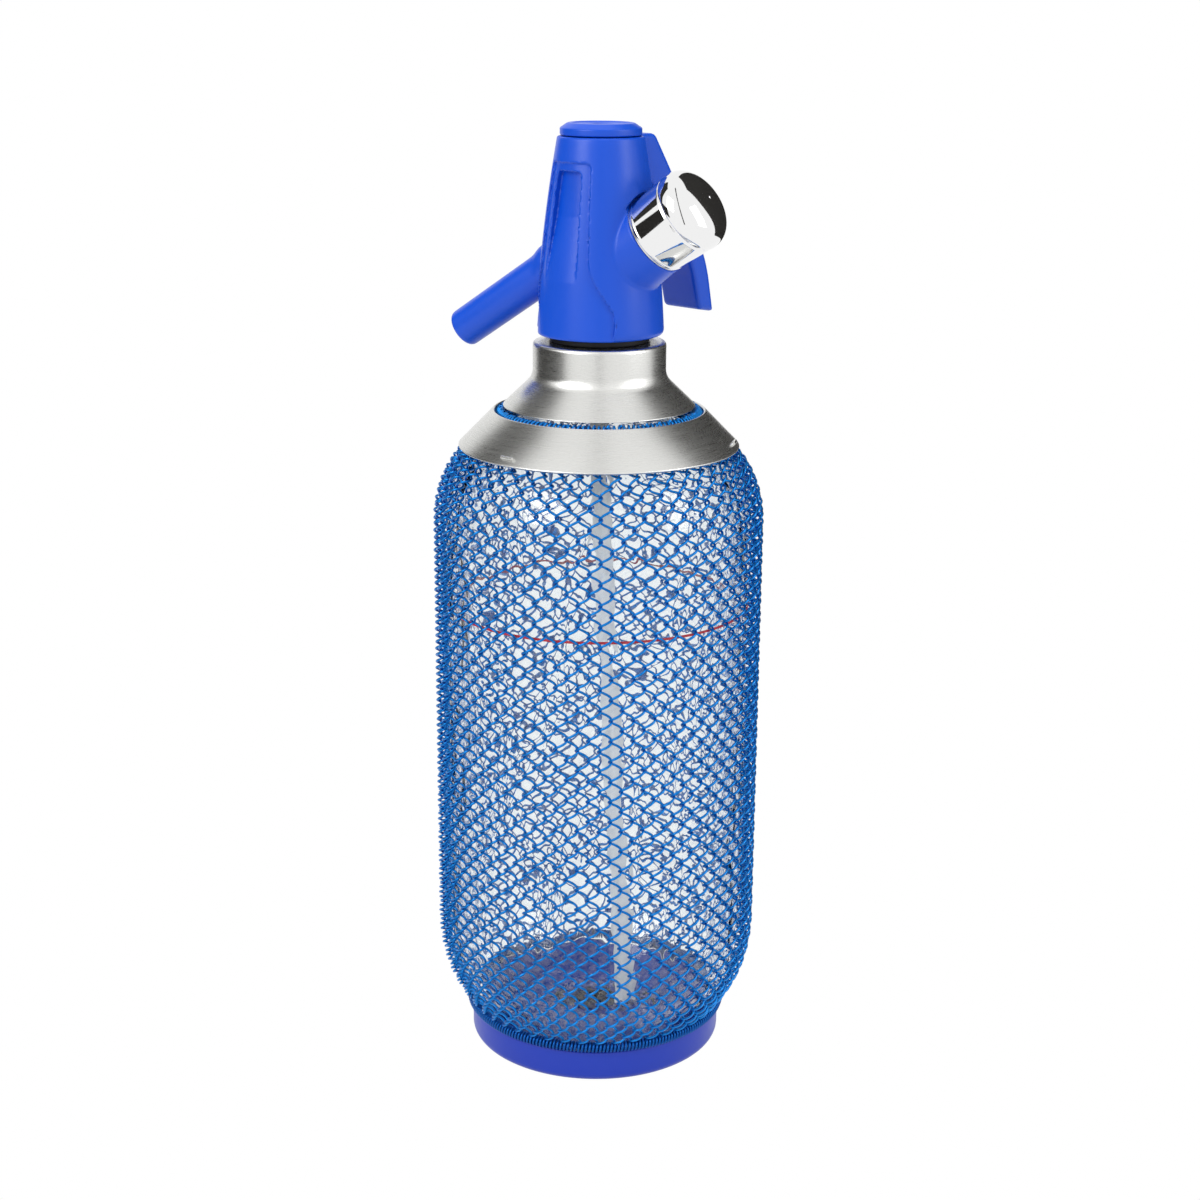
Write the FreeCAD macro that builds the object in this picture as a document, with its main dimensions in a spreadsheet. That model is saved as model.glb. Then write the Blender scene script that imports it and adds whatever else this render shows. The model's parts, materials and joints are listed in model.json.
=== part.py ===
import FreeCAD, Part
import Sketcher
import math
import os

# A one litre soda siphon: a glass bottle in a wire sleeve, steel shoulder parts and a plastic head with
# spout, lever and charging port. Millimetres. Z is the bottle's axis, Z 0 the underside of the base cup.
# The spout points to -X, the charging port to +X, and the lever stands at lever_azimuth from +X.

SIZES = {
    # base cup
    "base_radius": (43.0, "outer radius of the base cup"),
    "base_height": (11.0, "height of the base cup's wall"),
    "base_wall": (1.8, "wall of the base cup"),
    "base_floor": (2.5, "floor of the base cup"),
    "base_edge": (2.8, "rounding of the base cup's lower edge"),
    # garter spring round the foot
    "garter_coil": (2.0, "outer radius of the garter spring's coil"),
    "garter_ring": (43.1, "radius of the garter spring's centre line"),
    # glass
    "glass_radius": (50.2, "outer radius of the bottle"),
    "glass_wall": (3.2, "wall of the bottle"),
    "foot_radius": (30.0, "radius of the bottle's flat foot"),
    "foot_height": (44.0, "height where the bottle's wall turns straight"),
    "shoulder_start": (185.0, "height where the bottle's shoulder begins"),
    "shoulder_round": (31.0, "radius of the shoulder's curve"),
    "shoulder_angle": (44.5, "steepest lean of the shoulder, degrees"),
    "cone_length": (16.2, "slant length of the shoulder's straight part"),
    "neck_radius": (13.5, "outer radius of the glass neck"),
    "neck_foot": (223.0, "height of the foot of the neck"),
    "neck_bore": (10.0, "radius of the bottle's mouth"),
    "lip_radius": (15.4, "radius of the lip round the mouth"),
    "lip_height": (5.0, "height of the lip"),
    "mouth_height": (235.0, "height of the bottle's mouth"),
    # wire sleeve
    "sleeve_gap": (2.0, "gap from the glass to the sleeve's net"),
    "sleeve_wall": (2.4, "thickness of the sleeve's net"),
    "net_columns": (18, "diamonds round the sleeve"),
    "net_rows": (7, "diamonds up the sleeve"),
    "net_strand": (2.6, "width of the strands between diamonds"),
    # shoulder band and collar
    "band_overhang": (1.3, "reach of the band below the end of the shoulder's curve"),
    "band_length": (16.4, "slant length of the shoulder band"),
    "sheet_wall": (0.8, "thickness of the steel sheet"),
    "staple_count": (3, "wire staples round the band"),
    "collar_radius": (21.6, "outer radius of the collar"),
    "collar_top": (243.3, "top of the collar"),
    "collar_bend": (231.9, "height where the collar turns into a cone"),
    "collar_low_radius": (31.2, "lower radius of the collar"),
    "collar_low": (222.4, "lower edge of the collar"),
    "collar_mouth": (15.0, "radius of the hole in the collar's top"),
    "staple_span": (4.6, "distance between the legs of a staple"),
    "staple_wire": (0.55, "wire radius of the staples"),
    "staple_start": (-104.0, "direction of the first staple from +X, degrees"),
    # neck parts
    "ring_thread": (14.1, "radius of the thread in the neck ring"),
    "ring_low": (224.6, "lower end of the neck ring"),
    "seal_height": (1.6, "thickness of the mouth seal"),
    "gasket_radius": (16.1, "outer radius of the neck gasket"),
    "running_gap": (0.08, "radial clearance of turning and sliding fits"),
    # head
    "head_low": (245.6, "underside of the head"),
    "head_low_radius": (20.4, "outer radius of the head at its foot"),
    "head_high": (308.0, "top of the head"),
    "head_high_radius": (14.4, "outer radius of the head at its top"),
    "head_wall": (2.6, "wall of the head"),
    "head_edge": (1.8, "rounding of the head's lower edge"),
    "head_floor": (2.4, "floor of the head"),
    "head_roof": (2.6, "roof of the head"),
    "panel_drop": (8.2, "distance from the head's top to the grip panel"),
    "panel_length": (32.0, "height of the grip panel's straight part"),
    "panel_flare": (12.0, "height over which the grip panel widens"),
    "panel_half": (10.4, "half width of the grip panel"),
    "panel_foot": (16.5, "half width of the grip panel at the head's foot"),
    "panel_depth": (0.55, "depth of the grip panel"),
    "recess_margin": (3.0, "border between the grip panel and its recess"),
    "recess_length": (30.0, "height of the finger recess"),
    "recess_depth": (1.5, "depth of the finger recess"),
    "lid_height": (4.4, "height of the lid on top of the head"),
    "lid_radius": (13.6, "radius of the lid"),
    # spout
    "spout_root": (278.6, "height where the spout's line meets the axis"),
    "spout_drop": (35.1, "angle of the spout below level"),
    "spout_reach": (59.4, "length along the spout's line to its tip"),
    "spout_tip_radius": (5.1, "outer radius of the spout's tip"),
    "spout_root_radius": (6.9, "outer radius of the spout's root"),
    "spout_bore": (2.6, "radius of the spout's bore"),
    "spout_wall": (1.6, "wall of the spout's spigot"),
    "spout_inlet": (9.6, "distance from the axis to the spout's inner end"),
    "spout_seat": (20.2, "distance from the axis to the spout's shoulder"),
    # charging port
    "port_root": (264.0, "height where the port's line meets the axis"),
    "port_azimuth": (-6.0, "direction of the port from +X, degrees"),
    "port_rise": (34.4, "angle of the port above level"),
    "port_radius": (12.6, "outer radius of the port's barrel"),
    "port_length": (24.8, "length along the port's line to the barrel's end"),
    "cap_length": (13.4, "length of the cap's straight sleeve"),
    "cap_bulge": (13.4, "largest radius of the cap's domed end"),
    "cap_dome": (8.9, "height of the cap's domed end"),
    "cap_wall": (1.4, "wall of the cap"),
    "cap_clearance": (0.6, "clearance round the cap in the head"),
    "nipple_radius": (7.4, "outer radius of the charging nipple"),
    "nipple_bore": (2.4, "bore of the charging nipple"),
    "nipple_spigot": (4.5, "radius of the nipple's spigot in the core"),
    "nipple_inlet": (10.0, "distance from the axis to the nipple's inner end"),
    "nipple_seat": (18.6, "distance from the axis to the nipple's shoulder"),
    "nipple_reach": (9.4, "reach of the nipple beyond the barrel"),
    "washer_wall": (0.5, "thickness of the port's washer"),
    "gas_bore": (1.2, "radius of the gas channel in the core"),
    "gas_offset": (7.6, "distance from the axis to the gas channel"),
    # lever
    "lever_azimuth": (71.0, "direction of the lever from +X, degrees"),
    "lever_width": (17.0, "width of the lever"),
    "lever_thick": (6.3, "thickness of the lever's grip"),
    "lever_low": (249.5, "height of the lever's lower end"),
    "lever_tip": (43.3, "distance from the axis to the lever's lower end"),
    "knee_reach": (33.6, "distance from the axis to the lever's knee"),
    "knee_height": (267.0, "height of the lever's knee"),
    "elbow_reach": (23.8, "distance from the axis to the lever's elbow"),
    "elbow_height": (295.0, "height of the lever's elbow"),
    "crown_reach": (15.2, "distance from the axis to the lever's upper edge"),
    "lever_round": (1.6, "rounding of the lever's long edges"),
    "fork_width": (7.6, "width of the lever's fork"),
    "fork_thick": (2.6, "thickness of the lever's fork"),
    "fork_gap": (0.2, "gap from the fork to the stem's collar"),
    "pivot_reach": (8.6, "distance of the lever's pivot from the axis"),
    "pivot_height": (299.5, "height of the lever's pivot"),
    "pin_radius": (1.25, "radius of the lever's pin"),
    # valve
    "stem_radius": (1.5, "radius of the valve's stem"),
    "seat_height": (262.0, "height of the valve's seat"),
    "chamber_radius": (4.2, "radius of the valve chamber"),
    "collar_height": (302.2, "height of the stem's collar"),
    "core_radius": (11.2, "outer radius of the valve core"),
    "core_top": (291.0, "top of the valve core"),
    "spring_wire": (0.45, "wire radius of the valve spring"),
    "spring_radius": (2.9, "radius of the valve spring's centre line"),
    "spring_turns": (6, "turns of the valve spring"),
    # dip tube
    "tube_radius": (3.3, "outer radius of the dip tube"),
    "tube_bore": (2.1, "bore of the dip tube"),
    "tube_foot": (9.5, "height of the dip tube's lower end"),
    "tube_bend": (224.0, "height where the dip tube begins to lean"),
    "tube_run": (25.0, "length of the dip tube's bend"),
    "tube_lean": (3.2, "lean of the dip tube, degrees"),
    "tube_azimuth": (26.0, "direction of the dip tube's lean from +X, degrees"),
}

doc = FreeCAD.newDocument("soda_siphon")


class Size:
    """A length or angle that carries its value and the formula that gives it in the sheet."""

    def __init__(self, value, text):
        self.value = float(value)
        self.text = text

    def __add__(self, other):
        other = as_size(other)
        return Size(self.value + other.value, f"({self.text} + {other.text})")

    def __sub__(self, other):
        other = as_size(other)
        return Size(self.value - other.value, f"({self.text} - {other.text})")

    def __mul__(self, other):
        other = as_size(other)
        return Size(self.value * other.value, f"({self.text} * {other.text})")

    def __truediv__(self, other):
        other = as_size(other)
        return Size(self.value / other.value, f"({self.text} / {other.text})")

    def __radd__(self, other):
        return as_size(other) + self

    def __rsub__(self, other):
        return as_size(other) - self

    def __rmul__(self, other):
        return as_size(other) * self


def as_size(number):
    """A plain number as a Size."""
    return number if isinstance(number, Size) else Size(number, repr(float(number)))


def sine(angle):
    """Sine of an angle in degrees."""
    return Size(math.sin(math.radians(angle.value)), f"sin({angle.text})")


def cosine(angle):
    """Cosine of an angle in degrees."""
    return Size(math.cos(math.radians(angle.value)), f"cos({angle.text})")


def make_sheet():
    """Write the driving dimensions to the sheet and return them by name."""
    sheet = doc.addObject("Spreadsheet::Sheet", "Sizes")
    found = {}
    for row, (name, (number, note)) in enumerate(SIZES.items(), start=1):
        sheet.set(f"A{row}", name)
        sheet.set(f"B{row}", str(number))
        sheet.setAlias(f"B{row}", name)
        sheet.set(f"C{row}", note)
        found[name] = Size(number, f"Sizes.{name}")
    doc.recompute()
    return found


S = make_sheet()
PARTS = []


def keep(thing, node):
    """Give a finished sub-part its name."""
    thing.Label = node
    PARTS.append(thing)
    return thing


def arc_middle(start, end, radius):
    """The middle point of an arc from start to end that bulges to the right of the way for a radius above 0."""
    chord = end - start
    half = chord.Length / 2
    side = FreeCAD.Vector(chord.y, -chord.x, 0).normalize()
    rise = abs(radius) - math.sqrt(max(radius * radius - half * half, 0.0))
    return (start + end) * 0.5 + side * (rise if radius > 0 else -rise)


def outline(body, role, corners):
    """A closed sketch through corners (across, up) or (across, up, radius of the arc that follows)."""
    sketch = body.newObject("Sketcher::SketchObject", body.Name + "_outline")
    plane = [f for f in body.Origin.OriginFeatures if f.Role == role][0]
    sketch.AttachmentSupport = [(plane, "")]
    sketch.MapMode = "FlatFace"
    corners = [tuple(as_size(part) for part in corner) for corner in corners]
    points = [FreeCAD.Vector(c[0].value, c[1].value, 0) for c in corners]
    count = len(corners)
    for k in range(count):
        start, end = points[k], points[(k + 1) % count]
        if len(corners[k]) == 3:
            middle = arc_middle(start, end, corners[k][2].value)
            sketch.addGeometry(Part.Arc(start, middle, end), False)
        else:
            sketch.addGeometry(Part.LineSegment(start, end), False)
    ends = []
    for k in range(count):
        ends.append(sketch_ends(sketch, k, points[k]))
    for k in range(count):
        after = (k + 1) % count
        sketch.addConstraint(Sketcher.Constraint("Coincident", k, ends[k][1], after, ends[after][0]))
    for k in range(count):
        for kind, part in (("DistanceX", corners[k][0]), ("DistanceY", corners[k][1])):
            index = sketch.addConstraint(Sketcher.Constraint(kind, -1, 1, k, ends[k][0], part.value))
            if "Sizes" in part.text:
                sketch.setExpression(f"Constraints[{index}]", part.text)
        if len(corners[k]) == 3:
            radius = corners[k][2]
            index = sketch.addConstraint(Sketcher.Constraint("Radius", k, abs(radius.value)))
            if "Sizes" in radius.text:
                sketch.setExpression(f"Constraints[{index}]", f"abs({radius.text})")
    return sketch


def sketch_ends(sketch, index, start):
    """The numbers of the two ends of a sketch's line or arc, that at start first."""
    first = sketch.getPoint(index, 1)
    return (1, 2) if (first - start).Length < 1e-6 else (2, 1)


def turned(node, corners, place=None, finished=True):
    """A body turned round its Z axis from an outline of (radius, height) corners."""
    body = doc.addObject("PartDesign::Body", node)
    sketch = outline(body, "XZ_Plane", corners)
    feature = body.newObject("PartDesign::Revolution", node + "_turn")
    feature.Profile = sketch
    feature.ReferenceAxis = (sketch, ["V_Axis"])
    feature.Angle = 360
    if place is not None:
        body.Placement = place
    return keep(body, node) if finished else body


def tilted(height, azimuth, rise):
    """The place of a piece whose own Z runs from the axis at a height, out along azimuth and up by rise."""
    lean = FreeCAD.Rotation(FreeCAD.Vector(0, 1, 0), 90 - rise)
    swing = FreeCAD.Rotation(FreeCAD.Vector(0, 0, 1), azimuth)
    return FreeCAD.Placement(FreeCAD.Vector(0, 0, height), swing * lean)


def spout_place():
    return tilted(S["spout_root"].value, 180, -S["spout_drop"].value)


def port_place():
    return tilted(S["port_root"].value, S["port_azimuth"].value, S["port_rise"].value)


def lever_place():
    return FreeCAD.Placement(FreeCAD.Vector(0, 0, 0),
                             FreeCAD.Rotation(FreeCAD.Vector(0, 0, 1), S["lever_azimuth"].value))


def bind(thing, **sizes):
    """Bind an object's properties to sizes."""
    for name, part in sizes.items():
        part = as_size(part)
        setattr(thing, name, part.value)
        if "Sizes" in part.text:
            thing.setExpression(name, part.text)
    return thing


def rod(name, radius, low, high, place=None):
    """A round tool from low to high along its own Z."""
    low, high = as_size(low), as_size(high)
    thing = bind(doc.addObject("Part::Cylinder", name), Radius=radius, Height=high - low)
    shift = FreeCAD.Placement(FreeCAD.Vector(0, 0, low.value), FreeCAD.Rotation())
    thing.Placement = (place or FreeCAD.Placement()) * shift
    if place is None and "Sizes" in low.text:
        thing.setExpression("Placement.Base.z", low.text)
    return thing


def block(name, length, width, height, corner, place=None):
    """A box tool with its low corner at corner in the place's frame."""
    thing = bind(doc.addObject("Part::Box", name), Length=length, Width=width, Height=height)
    shift = FreeCAD.Placement(FreeCAD.Vector(*[as_size(c).value for c in corner]), FreeCAD.Rotation())
    thing.Placement = (place or FreeCAD.Placement()) * shift
    return thing


def joined(name, *shapes):
    """Several shapes made one."""
    thing = doc.addObject("Part::MultiFuse", name)
    thing.Shapes = list(shapes)
    return thing


def cut(name, base, *tools):
    """A shape with tools taken out of it."""
    for k, tool in enumerate(tools):
        step = doc.addObject("Part::Cut", name if k == len(tools) - 1 else f"{name}_cut{k}")
        step.Base = base
        step.Tool = tool
        base = step
    return base


def shoulder_point(along, out):
    """A point on the shoulder: so far up its straight slope and so far out from the glass."""
    lean = S["shoulder_angle"]
    start_radius = S["glass_radius"] - S["shoulder_round"] * (1 - cosine(lean))
    start_height = S["shoulder_start"] + S["shoulder_round"] * sine(lean)
    return (start_radius - along * sine(lean) + out * cosine(lean),
            start_height + along * cosine(lean) + out * sine(lean))


def foot_round(reach, rise):
    """Radius of an arc that rises to the vertical over a reach and a rise."""
    return (reach * reach + rise * rise) / (2 * reach)


def base_cup():
    radius, edge = S["base_radius"], S["base_edge"]
    inner = radius - S["base_wall"]
    turned("base_cup", [
        (0, 0), (radius - edge, 0, edge), (radius, edge), (radius, S["base_height"]),
        (inner, S["base_height"]), (inner, S["base_floor"]), (0, S["base_floor"])])


def glass_bottle():
    """The bottle's wall, from the flat foot up the round shoulder to the lip of the mouth."""
    radius, wall, floor = S["glass_radius"], S["glass_wall"], S["base_floor"]
    foot, rise = S["foot_radius"], S["foot_height"]
    lip_low = S["mouth_height"] - S["lip_height"]
    outer = [
        (0, floor), (foot, floor, foot_round(radius - foot, rise - floor)),
        (radius, rise), (radius, S["shoulder_start"], S["shoulder_round"]),
        shoulder_point(0, 0), shoulder_point(S["cone_length"] - 2, 0),
        (S["neck_radius"], S["neck_foot"]), (S["neck_radius"], lip_low),
        (S["lip_radius"], lip_low), (S["lip_radius"], S["mouth_height"])]
    inner = [
        (S["neck_bore"], S["mouth_height"]), (S["neck_bore"], S["neck_foot"] - 1.2),
        shoulder_point(S["cone_length"] - 2, -1 * wall),
        (*shoulder_point(0, -1 * wall), -1 * (S["shoulder_round"] - wall)),
        (radius - wall, S["shoulder_start"]),
        (radius - wall, rise, -1 * foot_round(radius - wall - foot, rise - floor - wall)),
        (foot, floor + wall), (0, floor + wall)]
    turned("glass_bottle", outer + inner)


def garter_height():
    """Height of the garter spring's centre line."""
    return S["base_height"] + S["garter_coil"]


def garter_spring():
    ring = doc.addObject("Part::Torus", "garter_spring")
    bind(ring, Radius1=S["garter_ring"], Radius2=S["garter_coil"])
    ring.Placement.Base.z = garter_height().value
    ring.setExpression("Placement.Base.z", garter_height().text)
    keep(ring, "garter_spring")


def mesh_sleeve():
    """The wire sleeve as a net of the loops' thickness that follows the glass, with diamond gaps."""
    near, far = S["sleeve_gap"], S["sleeve_gap"] + S["sleeve_wall"]
    radius, rise = S["glass_radius"], S["foot_height"]
    hem = garter_height() + S["garter_coil"] + 0.3
    hem_radius = S["garter_ring"] - 0.4
    round_in = foot_round(radius + near - hem_radius, rise - hem)
    body = turned("mesh_sleeve", [
        (hem_radius, hem), (hem_radius + S["sleeve_wall"], hem, round_in),
        (radius + far, rise), (radius + far, S["shoulder_start"], S["shoulder_round"] + far),
        shoulder_point(0, far), shoulder_point(S["cone_length"], far),
        shoulder_point(S["cone_length"], near),
        (*shoulder_point(0, near), -1 * (S["shoulder_round"] + near)),
        (radius + near, S["shoulder_start"]), (radius + near, rise, -1 * round_in)], finished=False)
    keep(net_gaps(body), "mesh_sleeve")


def net_gaps(body):
    """Cut two staggered sets of diamond gaps through the sleeve's straight wall."""
    columns, rows = S["net_columns"], S["net_rows"]
    reach = 2 * math.pi * (S["glass_radius"].value + S["sleeve_gap"].value)
    across = reach / columns.value / 2 - S["net_strand"].value * 0.7
    low, high = S["foot_height"].value + 1, S["shoulder_start"].value - 1
    step = (high - low) / rows.value
    up = step / 2 - S["net_strand"].value * 0.7
    plane = [f for f in body.Origin.OriginFeatures if f.Role == "XZ_Plane"][0]
    last = body.Tip
    for turn in (0, 1):
        sketch = body.newObject("Sketcher::SketchObject", f"mesh_gaps{turn}")
        sketch.AttachmentSupport = [(plane, "")]
        sketch.MapMode = "FlatFace"
        for k in range(int(rows.value) - turn):
            middle = low + step * (k + 0.5 + turn / 2)
            tips = [FreeCAD.Vector(across, middle, 0), FreeCAD.Vector(0, middle + up, 0),
                    FreeCAD.Vector(-across, middle, 0), FreeCAD.Vector(0, middle - up, 0)]
            for a, b in zip(tips, tips[1:] + tips[:1]):
                sketch.addGeometry(Part.LineSegment(a, b), False)
        if turn:
            sketch.AttachmentOffset = FreeCAD.Placement(
                FreeCAD.Vector(0, 0, 0), FreeCAD.Rotation(FreeCAD.Vector(0, 1, 0), 180 / columns.value))
        pocket = body.newObject("PartDesign::Pocket", f"mesh_pocket{turn}")
        pocket.Profile = sketch
        pocket.Type = "Length"
        pocket.Length = S["glass_radius"].value + S["sleeve_gap"].value + S["sleeve_wall"].value + 5
        pocket.Reversed = bool(turn)
        last = body.newObject("PartDesign::PolarPattern", f"mesh_ring{turn}")
        last.Originals = [pocket]
        last.Axis = ([f for f in body.Origin.OriginFeatures if f.Role == "Z_Axis"][0], [""])
        last.Angle = 360
        last.Occurrences = int(columns.value)
        body.Tip = last
    return body


def shoulder_band():
    """The cone of steel sheet that holds the sleeve to the shoulder, with holes for its staples."""
    low, high = -1 * S["band_overhang"], S["band_length"] - S["band_overhang"]
    near = S["sleeve_gap"] + S["sleeve_wall"] + 0.1
    band = turned("band_sheet", [
        shoulder_point(low, near), shoulder_point(low, near + S["sheet_wall"]),
        shoulder_point(high, near + S["sheet_wall"]), shoulder_point(high, near)], finished=False)
    tools = []
    for place in staple_places():
        for side in (-1, 1):
            hole = rod("staple_hole", S["staple_wire"] + 0.15, -3, 3, place * leg_shift(side))
            tools.append(hole)
    keep(cut("shoulder_band", band, joined("staple_holes", *tools)), "shoulder_band")


def staple_places():
    """Places on the band's outer face, Z outwards and X along the rim."""
    near = S["sleeve_gap"] + S["sleeve_wall"] + 0.1 + S["sheet_wall"]
    radius, height = shoulder_point(S["band_overhang"], near)
    places = []
    for k in range(int(S["staple_count"].value)):
        turn = S["staple_start"].value + 360.0 / S["staple_count"].value * k
        swing = FreeCAD.Placement(FreeCAD.Vector(0, 0, 0), FreeCAD.Rotation(FreeCAD.Vector(0, 0, 1), turn))
        lean = FreeCAD.Rotation(FreeCAD.Vector(0, 1, 0), 90 - S["shoulder_angle"].value)
        spot = FreeCAD.Placement(FreeCAD.Vector(radius.value, 0, height.value), lean)
        quarter = FreeCAD.Placement(FreeCAD.Vector(0, 0, 0), FreeCAD.Rotation(FreeCAD.Vector(0, 0, 1), 90))
        places.append(swing * spot * quarter)
    return places


def leg_shift(side):
    return FreeCAD.Placement(FreeCAD.Vector(side * S["staple_span"].value / 2, 0, 0), FreeCAD.Rotation())


def band_staples():
    """Short wire staples through the band's lower edge, each a bar with two legs."""
    wire, wall = S["staple_wire"], S["sheet_wall"]
    staples = []
    for place in staple_places():
        legs = [rod("staple_leg", wire, -1 * wall, wire, place * leg_shift(side)) for side in (-1, 1)]
        quarter = FreeCAD.Rotation(FreeCAD.Vector(0, 1, 0), 90)
        bar_place = place * FreeCAD.Placement(FreeCAD.Vector(0, 0, wire.value), quarter)
        bar = rod("staple_bar", wire, -0.5 * S["staple_span"], 0.5 * S["staple_span"], bar_place)
        staples.append(joined("staple", *legs, bar))
    group = doc.addObject("Part::Compound", "band_staples")
    group.Links = staples
    keep(group, "band_staples")


def neck_collar():
    """The collar of steel sheet over the neck: flat top, straight side and a cone onto the sleeve."""
    wall, radius = S["sheet_wall"], S["collar_radius"]
    turned("neck_collar", [
        (S["collar_mouth"], S["collar_top"] - wall), (radius - wall, S["collar_top"] - wall),
        (radius - wall, S["collar_bend"] + 0.3), (S["collar_low_radius"] - wall, S["collar_low"]),
        (S["collar_low_radius"] + 0.3, S["collar_low"]), (radius, S["collar_bend"]),
        (radius, S["collar_top"] - 1.2, 1.2), (radius - 1.2, S["collar_top"]),
        (S["collar_mouth"], S["collar_top"])])


def ring_top():
    return S["collar_top"] - S["sheet_wall"]


def neck_ring():
    """The threaded ring clamped under the lip of the glass, which carries the collar and the head."""
    radius = S["collar_radius"] - S["sheet_wall"] - 0.3
    shelf = S["mouth_height"] - S["lip_height"] - 3.5
    turned("neck_ring", [
        (S["neck_radius"] + 0.7, S["ring_low"]), (radius, S["ring_low"]), (radius, ring_top()),
        (S["ring_thread"], ring_top()), (S["ring_thread"], S["mouth_height"] + S["seal_height"]),
        (S["lip_radius"] + 0.3, S["mouth_height"] + S["seal_height"]), (S["lip_radius"] + 0.3, shelf),
        (S["neck_radius"] + 0.7, shelf)])


def split_ring():
    """Two half rings between the lip of the glass and the shelf of the neck ring."""
    top = S["mouth_height"] - S["lip_height"]
    whole = turned("split_whole", [
        (S["neck_radius"] + 0.1, top - 3.5), (S["lip_radius"] + 0.2, top - 3.5),
        (S["lip_radius"] + 0.2, top), (S["neck_radius"] + 0.1, top)], finished=False)
    slit = block("split_gap", 40, 0.6, 10, (-20, -0.3, top - 6))
    keep(cut("split_ring", whole, slit), "split_ring")


def mouth_seal():
    """The flat seal on the bottle's mouth."""
    turned("mouth_seal", [
        (S["neck_bore"] + 0.2, S["mouth_height"]), (S["ring_thread"] - 0.4, S["mouth_height"]),
        (S["ring_thread"] - 0.4, S["mouth_height"] + S["seal_height"]),
        (S["neck_bore"] + 0.2, S["mouth_height"] + S["seal_height"])])


def neck_gasket():
    """The black rubber ring between the collar and the head, with a rounded rim."""
    low, high, radius = S["collar_top"], S["head_low"], S["gasket_radius"]
    inner = S["ring_thread"] + 0.1
    turned("neck_gasket", [
        (inner, low), (radius - 0.6, low, 0.6), (radius, low + 0.6), (radius, high - 0.6, 0.6),
        (radius - 0.6, high), (inner, high)])


def head_radius(height):
    """Outer radius of the head's cone at a height."""
    share = (as_size(height) - S["head_low"]) / (S["head_high"] - S["head_low"])
    return S["head_low_radius"] + (S["head_high_radius"] - S["head_low_radius"]) * share


def prism(name, role, corners, width, place, lift=0.0):
    """An outline padded evenly both ways by half a width."""
    body = doc.addObject("PartDesign::Body", name)
    sketch = outline(body, role, corners)
    pad = body.newObject("PartDesign::Pad", name + "_pad")
    pad.Profile = sketch
    bind(pad, Length=width)
    pad.Midplane = True
    body.Placement = place
    return body


def head_body():
    """The moulded head: a cone shell with a floor, a port barrel, a lever slot and a grip panel."""
    low, high, edge, wall = S["head_low"], S["head_high"], S["head_edge"], S["head_wall"]
    cone = turned("head_cone", [
        (0, low), (S["head_low_radius"] - edge, low, edge), (head_radius(low + edge), low + edge),
        (S["head_high_radius"], high), (0, high)], finished=False)
    barrel = rod("port_barrel", S["port_radius"], 10, S["port_length"], port_place())
    hollow_low, hollow_high = low + S["head_floor"], high - S["head_roof"]
    hollow = cut("head_hollow", turned("head_room", [
        (0, hollow_low), (head_radius(hollow_low) - wall, hollow_low),
        (head_radius(hollow_high) - wall, hollow_high), (0, hollow_high)], finished=False), port_boss())
    tools = [
        hollow,
        rod("core_hole", S["ring_thread"] + 0.2, low - 1, low + S["head_floor"] + 0.5),
        rod("lid_hole", plug_radius() + 0.05, high - S["head_roof"] - 1, high + 1),
        rod("nipple_hole", S["nipple_radius"] + S["running_gap"], 12, S["port_length"] + 1, port_place()),
        rod("spout_hole", S["spout_root_radius"] + 0.05, 15, 40, spout_place()),
        rod("cap_room", S["cap_bulge"] + S["cap_clearance"], S["port_length"], S["port_length"] + 30, port_place()),
        lever_slot(), pin_hole(), grip_panel(), grip_recess(),
    ]
    keep(cut("head_body", joined("head_outer", cone, barrel), *tools), "head_body")


def port_boss():
    """The wall round the nipple inside the head, between the valve core and the barrel's end."""
    boss = rod("boss_round", S["port_radius"] + 2.0, 12, S["port_length"] + 4, port_place())
    room = rod("boss_room", S["core_radius"] + 0.2, S["head_low"], S["head_high"])
    return cut("port_boss", boss, room)


def plug_radius():
    """Radius of the lid's plug, which stands clear of the lever."""
    return S["pivot_reach"] + 0.8


def lever_slot():
    """The opening in the head that the lever swings in, shallow where the grip folds against the head."""
    foot = S["head_low"] + 11.5
    return prism("lever_slot", "XZ_Plane", [
        (plug_radius() + 0.4, S["head_high"] + 1), (plug_radius() + 0.4, S["pivot_height"] + 4.4),
        (4, S["pivot_height"] + 4.4), (4, S["pivot_height"] - 9),
        (head_radius(foot + 15) - S["head_wall"] + 0.4, foot + 15), (head_radius(foot), foot),
        (head_radius(foot) + 25, foot), (head_radius(foot) + 25, S["head_high"] + 1)],
        S["lever_width"] + 1.0, lever_place())


def pin_hole():
    """The hole through the head for the lever's pin."""
    place = lever_place() * FreeCAD.Placement(
        FreeCAD.Vector(S["pivot_reach"].value, 0, S["pivot_height"].value),
        FreeCAD.Rotation(FreeCAD.Vector(1, 0, 0), 90))
    half = pin_half()
    return rod("pin_hole", S["pin_radius"] + 0.03, -1 * half - 0.2, half + 0.2, place)


def pin_half():
    """Half the length of the lever's pin, which ends just inside the head's outer face."""
    outer, reach = S["head_high_radius"].value, S["pivot_reach"].value
    return S["head_high_radius"] * 1.0 - (outer - math.sqrt(outer * outer - reach * reach)) - 0.3


def skin(name, depth):
    """The head's outer skin of a depth, used to cut shallow panels."""
    low, high = S["head_low"] - 2, S["head_high"] + 2
    return turned(name, [
        (head_radius(low) - depth, low), (head_radius(low) + 6, low),
        (head_radius(high) + 6, high), (head_radius(high) - depth, high)], finished=False)


def grip_place():
    """Frame of the grip panel, opposite the lever."""
    turn = FreeCAD.Rotation(FreeCAD.Vector(0, 0, 1), S["lever_azimuth"].value + 180 + 90)
    return FreeCAD.Placement(FreeCAD.Vector(0, 0, 0), turn)


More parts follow.
